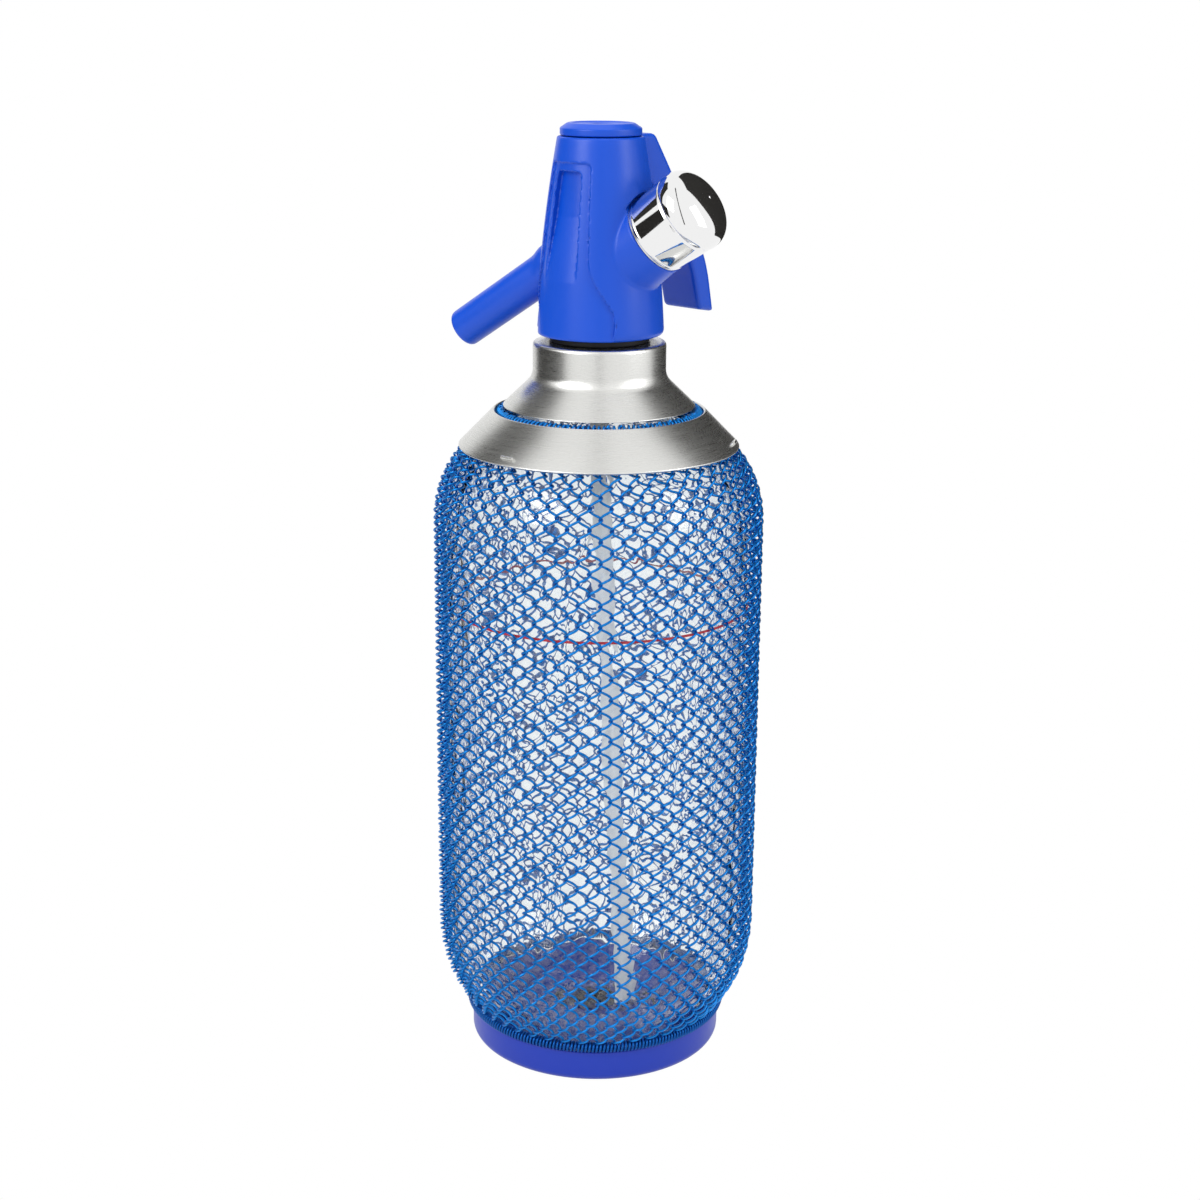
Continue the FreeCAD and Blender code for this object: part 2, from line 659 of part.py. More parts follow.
def panel_prism(name, corners):
    """An outline seen from outside the grip panel, pushed through the near wall of the head."""
    body = prism(name, "XZ_Plane", corners, 40, FreeCAD.Placement())
    body.Placement = grip_place() * FreeCAD.Placement(FreeCAD.Vector(0, -24, 0), FreeCAD.Rotation())
    return body


def grip_panel():
    """The broad shallow panel for the fingers, which runs down to the head's foot."""
    top, half, foot = S["head_high"] - S["panel_drop"], S["panel_half"], S["panel_foot"]
    knee = top - S["panel_length"]
    heel = knee - S["panel_flare"]
    shape = panel_prism("panel_outline", [
        (-1 * half, top), (-1 * half, knee), (-1 * foot, heel), (-1 * foot, S["head_low"] - 1),
        (foot, S["head_low"] - 1), (foot, heel), (half, knee), (half, top)])
    return common("grip_panel", shape, skin("panel_skin", S["panel_depth"]))


def grip_recess():
    """The deeper finger recess in the panel."""
    top = S["head_high"] - S["panel_drop"] - S["recess_margin"]
    half, corner = S["panel_half"] - S["recess_margin"], 1.5
    low = top - S["recess_length"]
    shape = panel_prism("recess_outline", [
        (-1 * half, top - corner), (-1 * half - 0.6, low), (half + 0.6, low), (half, top - corner),
        (half - corner, top), (corner - half, top)])
    return common("grip_recess", shape, skin("recess_skin", S["recess_depth"]))


def common(name, base, tool):
    thing = doc.addObject("Part::Common", name)
    thing.Base = base
    thing.Tool = tool
    return thing


def head_lid():
    """The bevelled lid that closes the head's top and holds down the valve spring."""
    high, radius, tall = S["head_high"], S["lid_radius"], S["lid_height"]
    pocket = S["spring_radius"] + S["spring_wire"] + 0.9
    turned("head_lid", [
        (pocket, high - 3.4), (plug_radius(), high - 3.4), (plug_radius(), high + 0.3),
        (radius - 0.5, high + 0.3), (radius, high + 0.9), (radius, high + 1.7),
        (radius - 2.4, high + tall), (radius - 3.0, high + tall), (radius - 3.6, high + tall - 0.35),
        (0, high + tall - 0.35), (0, high + 1.5), (pocket, high + 1.5)])


def spout_spigot():
    """Radius of the spout's spigot in the valve core."""
    return S["spout_bore"] + S["spout_wall"]


def spout():
    """The tapered spout with its bore and the spigot that enters the valve core."""
    reach, bore, tip = S["spout_reach"], S["spout_bore"], S["spout_tip_radius"]
    seat, spigot = S["spout_seat"], spout_spigot()
    turned("spout", [
        (bore, S["spout_inlet"]), (spigot, S["spout_inlet"]), (spigot, seat),
        (S["spout_root_radius"], seat), (tip, reach - 0.5), (tip - 0.5, reach), (bore, reach)],
        spout_place())


def spout_seal():
    """The rubber ring between the core and the spout's shoulder."""
    inner, seat = spout_spigot() + 0.05, S["spout_seat"]
    turned("spout_seal", [
        (inner, seat - 1.9), (inner + 2.05, seat - 1.9), (inner + 2.05, seat), (inner, seat)],
        spout_place())


def valve_core():
    """The plug that screws into the neck ring and holds the valve, the spout, the port and the dip tube."""
    thread = S["ring_thread"] - S["running_gap"]
    low, shelf = S["mouth_height"] + S["seal_height"], S["head_low"] + S["head_floor"]
    inner = S["stem_radius"] + S["running_gap"]
    chamber_top = S["core_top"] - 7
    body = turned("core_plug", [
        (S["tube_radius"] + 0.05, low), (thread, low), (thread, shelf), (S["core_radius"] + 5.6, shelf),
        (S["core_radius"] + 5.6, shelf + 2.5), (S["core_radius"], shelf + 5),
        (S["core_radius"], S["core_top"]), (S["stem_radius"] + 2.2, S["core_top"]),
        (S["stem_radius"] + 2.2, S["core_top"] - 4), (inner, S["core_top"] - 4), (inner, chamber_top),
        (S["chamber_radius"], chamber_top - 1.5), (S["chamber_radius"], S["seat_height"]),
        (2.2, S["seat_height"]), (2.2, tube_top()), (S["tube_radius"] + 0.05, tube_top())],
        finished=False)
    tools = [
        rod("spout_socket", spout_spigot() + 0.05, S["spout_inlet"], 20, spout_place()),
        rod("spout_way", S["spout_bore"], 2, S["spout_inlet"] + 0.4, spout_place()),
        rod("nipple_socket", S["nipple_spigot"] + 0.05, S["nipple_inlet"], 20, port_place()),
        rod("gas_way", S["gas_bore"], S["gas_offset"] - 0.4, S["nipple_inlet"] + 0.5, port_place()),
    ]
    down = rod("gas_drop", S["gas_bore"], low - 1, S["port_root"] + 5,
               FreeCAD.Placement(FreeCAD.Vector(S["gas_offset"].value, 0, 0), FreeCAD.Rotation()))
    keep(cut("valve_core", body, *tools, down), "valve_core")


def tube_top():
    return S["head_low"] + 4.4


def valve_stem():
    """The rod that lifts the valve, with a foot disc for the washer and a collar for the lever's fork."""
    radius, foot, neck = S["stem_radius"], S["seat_height"] + 2.0, S["collar_height"]
    turned("valve_stem", [
        (0, foot), (3.4, foot), (3.4, foot + 1.4), (radius, foot + 1.4), (radius, neck),
        (radius + 2.2, neck), (radius + 2.2, neck + 1.2), (radius, neck + 1.2), (radius, neck + 4.0),
        (0, neck + 4.0)])


def valve_washer():
    """The rubber washer that closes the seat."""
    foot = S["seat_height"]
    turned("valve_washer", [(0, foot), (3.5, foot), (3.5, foot + 2.0), (0, foot + 2.0)])


def stem_seal():
    """The rubber ring that seals the stem in the core's top."""
    top = S["core_top"]
    turned("stem_seal", [
        (S["stem_radius"] + 0.05, top - 4), (S["stem_radius"] + 2.1, top - 4),
        (S["stem_radius"] + 2.1, top - 1.8), (S["stem_radius"] + 0.05, top - 1.8)])


def seal_nut():
    """The nut that presses the stem's seal into the core."""
    top, bore = S["core_top"], S["stem_radius"] + S["running_gap"]
    turned("seal_nut", [
        (bore, top - 1.8), (S["stem_radius"] + 2.1, top - 1.8), (S["stem_radius"] + 2.1, top),
        (S["stem_radius"] + 4.4, top), (S["stem_radius"] + 4.4, top + 2.0), (bore, top + 2.0)])


def spring_seat():
    """Height of the top of the stem's collar, where the spring stands."""
    return S["collar_height"] + 1.2


def valve_spring():
    """The spring between the stem's collar and the lid, one tube along half-turn arcs."""
    radius, wire = S["spring_radius"].value, S["spring_wire"].value
    low = spring_seat().value + wire
    high = S["head_high"].value + 1.5 - wire
    count = int(S["spring_turns"].value) * 4
    edges = []
    for k in range(count):
        spots = [coil_point(radius, low, high, (k + part) / count, S["spring_turns"].value)
                 for part in (0, 0.5, 1)]
        edges.append(Part.Arc(*spots).toShape())
    path = Part.Wire(edges)
    start = path.Vertexes[0].Point
    ring = Part.Circle(start, edges[0].tangentAt(edges[0].FirstParameter), wire).toShape()
    thing = doc.addObject("Part::Feature", "valve_spring")
    thing.Shape = path.makePipeShell([Part.Wire([ring])], True, False)
    keep(thing, "valve_spring")


def coil_point(radius, low, high, share, turns):
    """A point on a coil at a share of its length."""
    turn = 2 * math.pi * turns * share
    return FreeCAD.Vector(radius * math.cos(turn), radius * math.sin(turn), low + (high - low) * share)


def lever():
    """The lever: a bent grip, a hub round the pin and a fork under the stem's collar."""
    reach, height, thick = S["pivot_reach"], S["pivot_height"], S["lever_thick"]
    low, top, tip = S["lever_low"], S["head_high"] - 0.5, S["lever_tip"]
    grip = prism("lever_grip", "XZ_Plane", [
        (reach + 1.8, height + 3.2), (reach - 1.0, height + 3.2), (reach - 3.0, height),
        (reach - 2.0, height - 3.4), (reach + 4.2, height - 4.8),
        (S["knee_reach"], S["knee_height"]), (tip - thick, low + 1.0), (tip, low),
        (S["knee_reach"] + thick, S["knee_height"]), (S["elbow_reach"], S["elbow_height"]),
        (S["crown_reach"], top), (reach + 2.4, top)], S["lever_width"], FreeCAD.Placement())
    fork_top = S["collar_height"] - S["fork_gap"]
    fork_low = fork_top - S["fork_thick"]
    fork = prism("lever_fork", "XZ_Plane", [
        (0.8, fork_low), (reach - 1, fork_low), (reach - 1, fork_top), (0.8, fork_top)],
        S["fork_width"], FreeCAD.Placement())
    slit = S["stem_radius"] * 2 + 0.6
    notch = block("fork_notch", 6, slit, 8, (-3.4, -0.5 * slit, fork_low - 3))
    half = S["lever_width"] / 2 + 3.5
    bore = rod("lever_bore", S["pin_radius"] + S["running_gap"], -1 * half, half, FreeCAD.Placement(
        FreeCAD.Vector(reach.value, 0, height.value), FreeCAD.Rotation(FreeCAD.Vector(1, 0, 0), 90)))
    whole = cut("lever", joined("lever_blank", rounded(grip), fork), notch, bore)
    whole.Placement = lever_place()
    keep(whole, "lever")


def rounded(body):
    """Round the long edges of the lever's grip."""
    doc.recompute()
    pad = body.Tip
    half = S["lever_width"].value / 2
    hub = S["pivot_reach"].value + 5.4
    names = []
    for index, part in enumerate(pad.Shape.Edges, start=1):
        ends = [v.Point for v in part.Vertexes]
        flat = all(abs(abs(p.y) - half) < 1e-6 for p in ends)
        if flat and ends[0].x > hub and ends[1].x > hub and abs(ends[0].y - ends[1].y) < 1e-6:
            names.append(f"Edge{index}")
    fillet = body.newObject("PartDesign::Fillet", body.Name + "_round")
    fillet.Base = (pad, names)
    bind(fillet, Radius=S["lever_round"])
    body.Tip = fillet
    return body


def lever_pin():
    """The pin that the lever turns on."""
    place = lever_place() * FreeCAD.Placement(
        FreeCAD.Vector(S["pivot_reach"].value, 0, S["pivot_height"].value),
        FreeCAD.Rotation(FreeCAD.Vector(1, 0, 0), 90))
    half = pin_half()
    keep(rod("lever_pin", S["pin_radius"], -1 * half, half, place), "lever_pin")


def dip_tube():
    """The tube from the core down to the bottle's floor, bent a little to one side."""
    body = doc.addObject("PartDesign::Body", "dip_tube")
    planes = {f.Role: f for f in body.Origin.OriginFeatures}
    top, bend, foot = tube_top().value, S["tube_bend"].value, S["tube_foot"].value
    lean = math.radians(S["tube_lean"].value)
    radius = S["tube_run"].value / math.tan(lean / 2)
    spots = [FreeCAD.Vector(radius * (1 - math.cos(turn)), bend - radius * math.sin(turn), 0)
             for turn in (0, lean / 2, lean)]
    way = FreeCAD.Vector(math.sin(lean), -math.cos(lean), 0)
    end = spots[2] + way * ((spots[2].y - foot) / math.cos(lean))
    path = body.newObject("Sketcher::SketchObject", "tube_path")
    path.AttachmentSupport = [(planes["XZ_Plane"], "")]
    path.MapMode = "FlatFace"
    path.addGeometry(Part.LineSegment(FreeCAD.Vector(0, top, 0), spots[0]), False)
    path.addGeometry(Part.Arc(*spots), False)
    path.addGeometry(Part.LineSegment(spots[2], end), False)
    ring = body.newObject("Sketcher::SketchObject", "tube_ring")
    ring.AttachmentSupport = [(planes["XY_Plane"], "")]
    ring.MapMode = "FlatFace"
    ring.AttachmentOffset = FreeCAD.Placement(FreeCAD.Vector(0, 0, top), FreeCAD.Rotation())
    ring.setExpression("AttachmentOffset.Base.z", tube_top().text)
    up = FreeCAD.Vector(0, 0, 1)
    for name in ("tube_radius", "tube_bore"):
        index = ring.addGeometry(Part.Circle(FreeCAD.Vector(0, 0, 0), up, S[name].value), False)
        ring.addConstraint(Sketcher.Constraint("Coincident", index, 3, -1, 1))
        bound = ring.addConstraint(Sketcher.Constraint("Radius", index, S[name].value))
        ring.setExpression(f"Constraints[{bound}]", S[name].text)
    pipe = body.newObject("PartDesign::AdditivePipe", "tube_pipe")
    pipe.Profile = ring
    pipe.Spine = path
    turn = FreeCAD.Rotation(FreeCAD.Vector(0, 0, 1), S["tube_azimuth"].value)
    body.Placement = FreeCAD.Placement(FreeCAD.Vector(0, 0, 0), turn)
    keep(body, "dip_tube")


def tube_nut():
    """The nut under the core that grips the dip tube."""
    top = S["mouth_height"] + S["seal_height"]
    bore, radius = S["tube_radius"] + 0.05, S["neck_bore"] - 2.4
    turned("tube_nut", [
        (bore, top - 5), (radius - 0.8, top - 5), (radius, top - 4.2), (radius, top), (bore, top)])


def nipple_end():
    """Distance along the port's line to the nipple's outer end."""
    return S["port_length"] + S["nipple_reach"]


def charging_nipple():
    """The threaded brass nipple that runs from the core out through the port."""
    radius, bore, spigot = S["nipple_radius"], S["nipple_bore"], S["nipple_spigot"]
    inlet, seat, end = S["nipple_inlet"], S["nipple_seat"], nipple_end()
    turned("charging_nipple", [
        (bore, inlet), (spigot, inlet), (spigot, seat), (radius, seat), (radius, end - 0.8),
        (radius - 0.8, end), (spigot + 0.1, end), (spigot + 0.1, end - 3.6), (bore, end - 3.6)],
        port_place())


def check_valve():
    """The rubber plug that lets gas in and keeps water back."""
    low, radius = S["nipple_inlet"] + 2, S["nipple_bore"] - 0.05
    turned("check_valve", [(0, low), (radius, low), (radius, low + 3), (0, low + 4.2)], port_place())


def piercing_pin():
    """The hollow pin that opens a gas charger."""
    end, radius = nipple_end(), S["nipple_bore"] - 0.05
    turned("piercing_pin", [
        (0.5, end - 9), (radius, end - 9), (radius, end - 3.6), (1.2, end - 3.6), (1.2, end - 1.6),
        (0.5, end + 0.4)], port_place())


def piercer_seal():
    """The rubber disc round the piercing pin."""
    low, radius = nipple_end() - 3.6, S["nipple_spigot"] + 0.05
    turned("piercer_seal", [
        (1.3, low), (radius, low), (radius, low + 1.4), (1.3, low + 1.4)], port_place())


def cap_low():
    """Distance along the port's line to the cap's open end, clear of the washer on both sides."""
    return S["port_length"] + S["washer_wall"] + 0.1


def port_washer():
    """The thin washer between the barrel and the cap."""
    low, inner, outer = S["port_length"] + 0.05, S["nipple_radius"] + 0.3, S["port_radius"] - 0.3
    high = low + S["washer_wall"]
    turned("port_washer", [(inner, low), (outer, low), (outer, high), (inner, high)], port_place())


def charging_cap():
    """The chromed cap over the port: a sleeve, a bead and a domed end, with a threaded boss inside."""
    low, wall = cap_low(), S["cap_wall"]
    rim, radius = low + S["cap_length"], S["port_radius"]
    bulge, dome = S["cap_bulge"], S["cap_dome"]
    waist, crown = bulge * 0.76, dome * 0.73
    boss, room = S["nipple_radius"] + S["running_gap"], rim + 4
    turned("charging_cap", [
        (radius - wall, low), (radius, low), (radius + 0.4, rim - 0.9), (radius + 0.1, rim - 0.6),
        (radius + 0.1, rim - 0.2), (bulge - 0.3, rim),
        (bulge, rim + 1.0, foot_round(bulge - waist, crown - 1.0)),
        (waist, rim + crown, foot_round(dome - crown, waist)), (0, rim + dome), (0, room), (boss, room),
        (boss, low + 0.1), (boss + 1.3, low + 0.1), (boss + 1.3, rim - 1), (radius - wall, rim - 1)],
        port_place())


def check_and_write():
    """Stop on any failed object, then write each sub-part's file."""
    doc.recompute()
    for thing in doc.Objects:
        if "Invalid" in thing.State or "Error" in thing.State:
            raise RuntimeError(f"{thing.Name}: {thing.State}")
    for thing in PARTS:
        if thing.Shape.isNull() or not thing.Shape.isValid():
            raise RuntimeError(f"{thing.Label}: shape is null or not valid")
    os.makedirs("parts", exist_ok=True)
    for thing in PARTS:
        thing.Shape.exportStep(f"parts/{thing.Label}.step")
        print(f"{thing.Label}: {len(thing.Shape.Solids)} solids, {thing.Shape.Volume:.1f} mm3")


base_cup()
glass_bottle()
garter_spring()
mesh_sleeve()
shoulder_band()
band_staples()
neck_collar()
neck_ring()
split_ring()
mouth_seal()
neck_gasket()
head_body()
head_lid()
spout()
spout_seal()
valve_core()
valve_stem()
valve_washer()
stem_seal()
seal_nut()
valve_spring()
lever()
lever_pin()
dip_tube()
tube_nut()
charging_nipple()
check_valve()
piercing_pin()
piercer_seal()
port_washer()
charging_cap()
check_and_write()
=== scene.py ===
import json
import math

import bpy
import numpy as np
from bpy.props import FloatProperty, FloatVectorProperty, IntProperty, PointerProperty
from mathutils import Matrix, Vector


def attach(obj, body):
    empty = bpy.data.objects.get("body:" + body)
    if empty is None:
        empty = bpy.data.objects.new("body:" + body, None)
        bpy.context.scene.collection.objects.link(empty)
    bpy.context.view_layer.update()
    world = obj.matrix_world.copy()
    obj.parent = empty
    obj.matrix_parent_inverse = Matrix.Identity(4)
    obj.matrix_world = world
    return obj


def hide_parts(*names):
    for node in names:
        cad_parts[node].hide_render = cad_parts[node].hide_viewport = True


bl_info = {
    "name": "Soda siphon",
    "version": (1, 0, 0),
    "blender": (4, 5, 0),
    "location": "View3D > Sidebar > Siphon",
    "description": "Looks of a glass soda siphon in a wire sleeve",
    "category": "Object",
}

# Millimetres to Blender's metres.
MM = 0.001
# Radius that closes a pole, in millimetres.
AXIS = 0.01
# Grid step of the head's and the lever's fields, in millimetres.
GRID = 0.5
# The camera's turn round the bottle, from -Y towards +X.
VIEW_TURN = math.radians(26)

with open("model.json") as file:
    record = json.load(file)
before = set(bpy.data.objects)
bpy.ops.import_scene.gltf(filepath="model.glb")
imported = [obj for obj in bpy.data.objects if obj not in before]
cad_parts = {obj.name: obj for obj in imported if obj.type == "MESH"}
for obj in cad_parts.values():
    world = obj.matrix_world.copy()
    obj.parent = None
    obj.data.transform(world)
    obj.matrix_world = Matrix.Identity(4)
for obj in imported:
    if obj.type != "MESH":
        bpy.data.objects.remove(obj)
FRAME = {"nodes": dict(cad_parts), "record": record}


def linear(colour):
    """A hex sRGB colour as linear red, green and blue."""
    parts = [int(colour[k:k + 2], 16) / 255 for k in (1, 3, 5)]
    return tuple(c / 12.92 if c <= 0.04045 else ((c + 0.055) / 1.055) ** 2.4 for c in parts)


def length(label, millimetres, note):
    """A length property whose default is in millimetres."""
    return FloatProperty(name=label, description=note, default=millimetres * MM, unit="LENGTH", precision=5)


def angle(label, degrees, note):
    """An angle property whose default is in degrees."""
    return FloatProperty(name=label, description=note, default=math.radians(degrees), subtype="ANGLE")


def colour(label, code, note):
    """A colour property whose default is an sRGB hex code."""
    return FloatVectorProperty(name=label, description=note, default=linear(code), subtype="COLOR", min=0, max=1)


class SiphonSizes(bpy.types.PropertyGroup):
    """Sizes of the siphon, as in its CAD parts."""
    glass_radius: length("Glass radius", 50.2, "Outer radius of the bottle")
    glass_wall: length("Glass wall", 3.2, "Wall of the bottle")
    glass_floor: length("Glass floor", 2.5, "Height of the bottle's foot inside the base cup")
    neck_radius: length("Neck radius", 13.5, "Outer radius of the bottle's neck")
    neck_bore: length("Neck bore", 10.0, "Radius of the neck's bore")
    lip_radius: length("Lip radius", 15.4, "Outer radius of the bottle's lip")
    lip_height: length("Lip height", 5.0, "Height of the bottle's lip")
    foot_radius: length("Foot radius", 30.0, "Radius of the bottle's flat foot")
    foot_height: length("Foot height", 44.0, "Height where the wall turns straight")
    shoulder_start: length("Shoulder start", 185.0, "Height where the shoulder begins")
    shoulder_round: length("Shoulder round", 31.0, "Radius of the shoulder's curve")
    shoulder_angle: angle("Shoulder lean", 44.5, "Steepest lean of the shoulder")
    cone_length: length("Cone length", 16.2, "Slant length of the shoulder's straight part")
    mouth_height: length("Mouth height", 235.0, "Height of the bottle's mouth")
    coils: IntProperty(name="Coils", description="Wire coils round the sleeve, an even number", default=94)
    coil_pitch: length("Coil pitch", 6.8, "Height of one turn of a sleeve coil")
    coil_offset: length("Coil offset", 2.4, "Distance from the glass to a coil's centre line")
    coil_depth: length("Coil depth", 1.6, "Half the depth of a sleeve coil")
    coil_wire: length("Coil wire", 0.41, "Wire radius of the sleeve's coils")
    garter_ring: length("Garter ring", 43.1, "Radius of the garter spring's centre line")
    garter_height: length("Garter height", 13.1, "Height of the garter spring's centre line")
    garter_coil: length("Garter coil", 1.48, "Radius of the garter spring's turns")
    garter_wire: length("Garter wire", 0.48, "Wire radius of the garter spring")
    garter_turns: IntProperty(name="Garter turns", description="Turns of the garter spring", default=228)
    hem_coil: length("Hem coil", 1.45, "Radius of the turns of the sleeve's top hem")
    hem_turns: IntProperty(name="Hem turns", description="Turns of the sleeve's top hem", default=128)
    base_radius: length("Base radius", 43.0, "Outer radius of the base cup")
    base_height: length("Base height", 11.0, "Height of the base cup")
    base_wall: length("Base wall", 1.8, "Wall of the base cup")
    base_floor: length("Base floor", 2.5, "Floor of the base cup")
    base_round: length("Base round", 2.8, "Radius of the base cup's lower edge")
    sheet: length("Sheet", 0.8, "Thickness of the band and the collar")
    band_gap: length("Band gap", 4.5, "Distance from the glass to the shoulder band")
    band_low: length("Band low", -1.3, "Lower edge of the band along the shoulder's slope")
    band_high: length("Band high", 15.1, "Upper edge of the band along the shoulder's slope")
    collar_radius: length("Collar radius", 21.6, "Outer radius of the collar's upright part")
    collar_high: length("Collar high", 243.3, "Top of the collar")
    collar_foot: length("Collar foot", 31.5, "Outer radius of the collar's lower edge")
    collar_low: length("Collar low", 222.4, "Height of the collar's lower edge")
    head_low: length("Head low", 245.6, "Underside of the head")
    head_low_radius: length("Head low radius", 20.8, "Radius of the head at its foot")
    head_high: length("Head high", 308.0, "Top of the head")
    head_high_radius: length("Head high radius", 13.8, "Radius of the head at its top")
    head_bulge: length("Head bulge", 1.0, "Bulge of the head's flank beyond a straight cone")
    spout_root: length("Spout root", 277.6, "Height where the spout's line meets the axis")
    spout_drop: angle("Spout drop", 34.1, "Angle of the spout below level")
    spout_reach: length("Spout reach", 61.2, "Length along the spout's line to its tip")
    spout_radius: length("Spout radius", 6.4, "Outer radius of the spout near its tip")
    spout_bore: length("Spout bore", 2.6, "Radius of the spout's bore")
    spout_collar: length("Spout collar", 7.6, "Radius of the spout's collar in the head")
    port_root: length("Port root", 264.0, "Height where the port's line meets the axis")
    port_azimuth: angle("Port azimuth", -6.0, "Direction of the port from +X")
    port_rise: angle("Port rise", 34.4, "Angle of the port above level")
    port_radius: length("Port radius", 12.6, "Outer radius of the port's barrel")
    port_length: length("Port length", 24.8, "Length along the port's line to the barrel's end")
    cap_length: length("Cap length", 13.4, "Length of the cap's straight sleeve")
    cap_bulge: length("Cap bulge", 13.4, "Largest radius of the cap's domed end")
    cap_dome: length("Cap dome", 8.9, "Height of the cap's domed end")
    lever_azimuth: angle("Lever azimuth", 71.0, "Direction of the lever from +X")
    lever_width: length("Lever width", 17.0, "Width of the lever")
    lid_radius: length("Lid radius", 13.0, "Radius of the lid")
    lid_height: length("Lid height", 4.1, "Height of the lid above the head")
    panel_drop: length("Panel drop", 7.6, "Distance from the head's top to the grip panel")
    panel_depth: length("Panel depth", 0.8, "Depth of the grip panel")
    recess_depth: length("Recess depth", 2.2, "Depth of the finger recess below the panel")
    line_height: length("Fill line height", 156.6, "Height of the printed fill line")
    line_width: length("Fill line width", 0.84, "Width of the printed fill line")


class SiphonColours(bpy.types.PropertyGroup):
    """Colours of the siphon's finishes."""
    head: colour("Head", "#004CCA", "Royal blue moulded plastic")
    base: colour("Base", "#0C35B2", "Ultramarine moulded plastic")
    wire: colour("Wire", "#1880D2", "Blue anodised aluminium wire")
    garter: colour("Garter", "#125CAE", "Blue coated spring wire")
    steel: colour("Steel", "#E2E2DF", "Brushed stainless sheet")
    chrome: colour("Chrome", "#F0F0F0", "Polished chrome plate")
    brass: colour("Brass", "#C9A14E", "Turned brass")
    line: colour("Fill line", "#C8323C", "Red enamel line")
    tube: colour("Tube", "#F2F3F5", "Milky plastic tube")
    rubber: colour("Rubber", "#141414", "Black rubber")
    nylon: colour("Nylon", "#E4E2DA", "Natural nylon")


def size(name):
    """A length in millimetres, an angle in radians or a count."""
    group = bpy.context.scene.siphon_sizes
    value = getattr(group, name)
    return value / MM if group.bl_rna.properties[name].unit == "LENGTH" else value


def tone(name):
    """A finish's linear colour."""
    return tuple(getattr(bpy.context.scene.siphon_colours, name))


# Curves and surfaces

def softened(corners, steps=6):
    """A polyline through corners (a, b) or (a, b, round), each round corner a parabola between its two sides."""
    count = len(corners)
    out = []
    for k, corner in enumerate(corners):
        here = np.array(corner[:2], float)
        if len(corner) < 3 or k in (0, count - 1):
            out.append(here)
            continue
        before = np.array(corners[k - 1][:2], float) - here
        after = np.array(corners[(k + 1) % count][:2], float) - here
        reach = min(corner[2], 0.48 * np.hypot(*before), 0.48 * np.hypot(*after))
        first = here + before / np.hypot(*before) * reach
        last = here + after / np.hypot(*after) * reach
        share = np.linspace(0, 1, steps)[:, None]
        out.extend((1 - share) ** 2 * first + 2 * share * (1 - share) * here + share ** 2 * last)
    return np.array(out)


def bend(start, end, radius, steps=24):
    """Points on an arc from start to end that bulges to the right of the way for a radius above 0."""
    start, end = np.array(start, float), np.array(end, float)
    chord = end - start
    half = np.hypot(*chord) / 2
    side = np.array([chord[1], -chord[0]]) / (2 * half)
    sign = 1 if radius > 0 else -1
    centre = (start + end) / 2 - sign * side * math.sqrt(max(radius * radius - half * half, 0))
    first = math.atan2(*(start - centre)[::-1])
    last = math.atan2(*(end - centre)[::-1])
    turn = (last - first + math.pi) % (2 * math.pi) - math.pi
    turns = first + turn * np.linspace(0, 1, steps)
    return centre + abs(radius) * np.stack([np.cos(turns), np.sin(turns)], 1)


def grid_faces(rows, columns, round_rows=False):
    """Quads over a grid of points whose columns close on themselves."""
    last = rows if round_rows else rows - 1
    row, column = np.meshgrid(np.arange(last), np.arange(columns), indexing="ij")
    below, beside = (row + 1) % rows, (column + 1) % columns
    corners = (row * columns + column, row * columns + beside, below * columns + beside, below * columns + column)
    return np.stack(corners, -1).reshape(-1, 4)


def tilted(height, azimuth, rise):
    """The place whose Z runs from the axis at a height, out along azimuth and up by rise."""
    turn = Matrix.Rotation(azimuth, 4, "Z") @ Matrix.Rotation(math.pi / 2 - rise, 4, "Y")
    return np.array(Matrix.Translation(Vector((0, 0, height))) @ turn)


def moved(points, place):
    """Points carried by a place's matrix."""
    return points @ place[:3, :3].T + place[:3, 3]


def put(name, points, faces, material, body, slot, replaces=()):
    """A mesh object from points in millimetres and quads, on a body, in place of CAD nodes."""
    mesh = bpy.data.meshes.new(name)
    mesh.vertices.add(len(points))
    mesh.vertices.foreach_set("co", (np.asarray(points) * MM).ravel())
    mesh.loops.add(faces.size)
    mesh.loops.foreach_set("vertex_index", faces.ravel().astype(np.int32))
    mesh.polygons.add(len(faces))
    mesh.polygons.foreach_set("loop_start", np.arange(0, faces.size, 4, dtype=np.int32))
    mesh.polygons.foreach_set("use_smooth", np.ones(len(faces), bool))
    mesh.update(calc_edges=True)
    mesh.validate()
    piece = bpy.data.objects.new(name, mesh)
    bpy.context.scene.collection.objects.link(piece)
    mesh.materials.append(material)
    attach(piece, body)
    if replaces:
        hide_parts(*replaces)
    return piece


def revolved(profile, segments=160, place=None):
    """Points and quads of a closed profile of (radius, height) turned once round Z."""
    profile = np.asarray(profile, float)
    turn = np.linspace(0, 2 * math.pi, segments, endpoint=False)
    across = profile[:, :1] * np.cos(turn), profile[:, :1] * np.sin(turn)
    height = np.repeat(profile[:, 1:], segments, 1)
    points = np.stack([*across, height], -1).reshape(-1, 3)
    if place is not None:
        points = moved(points, place)
    return points, grid_faces(len(profile), segments, True)


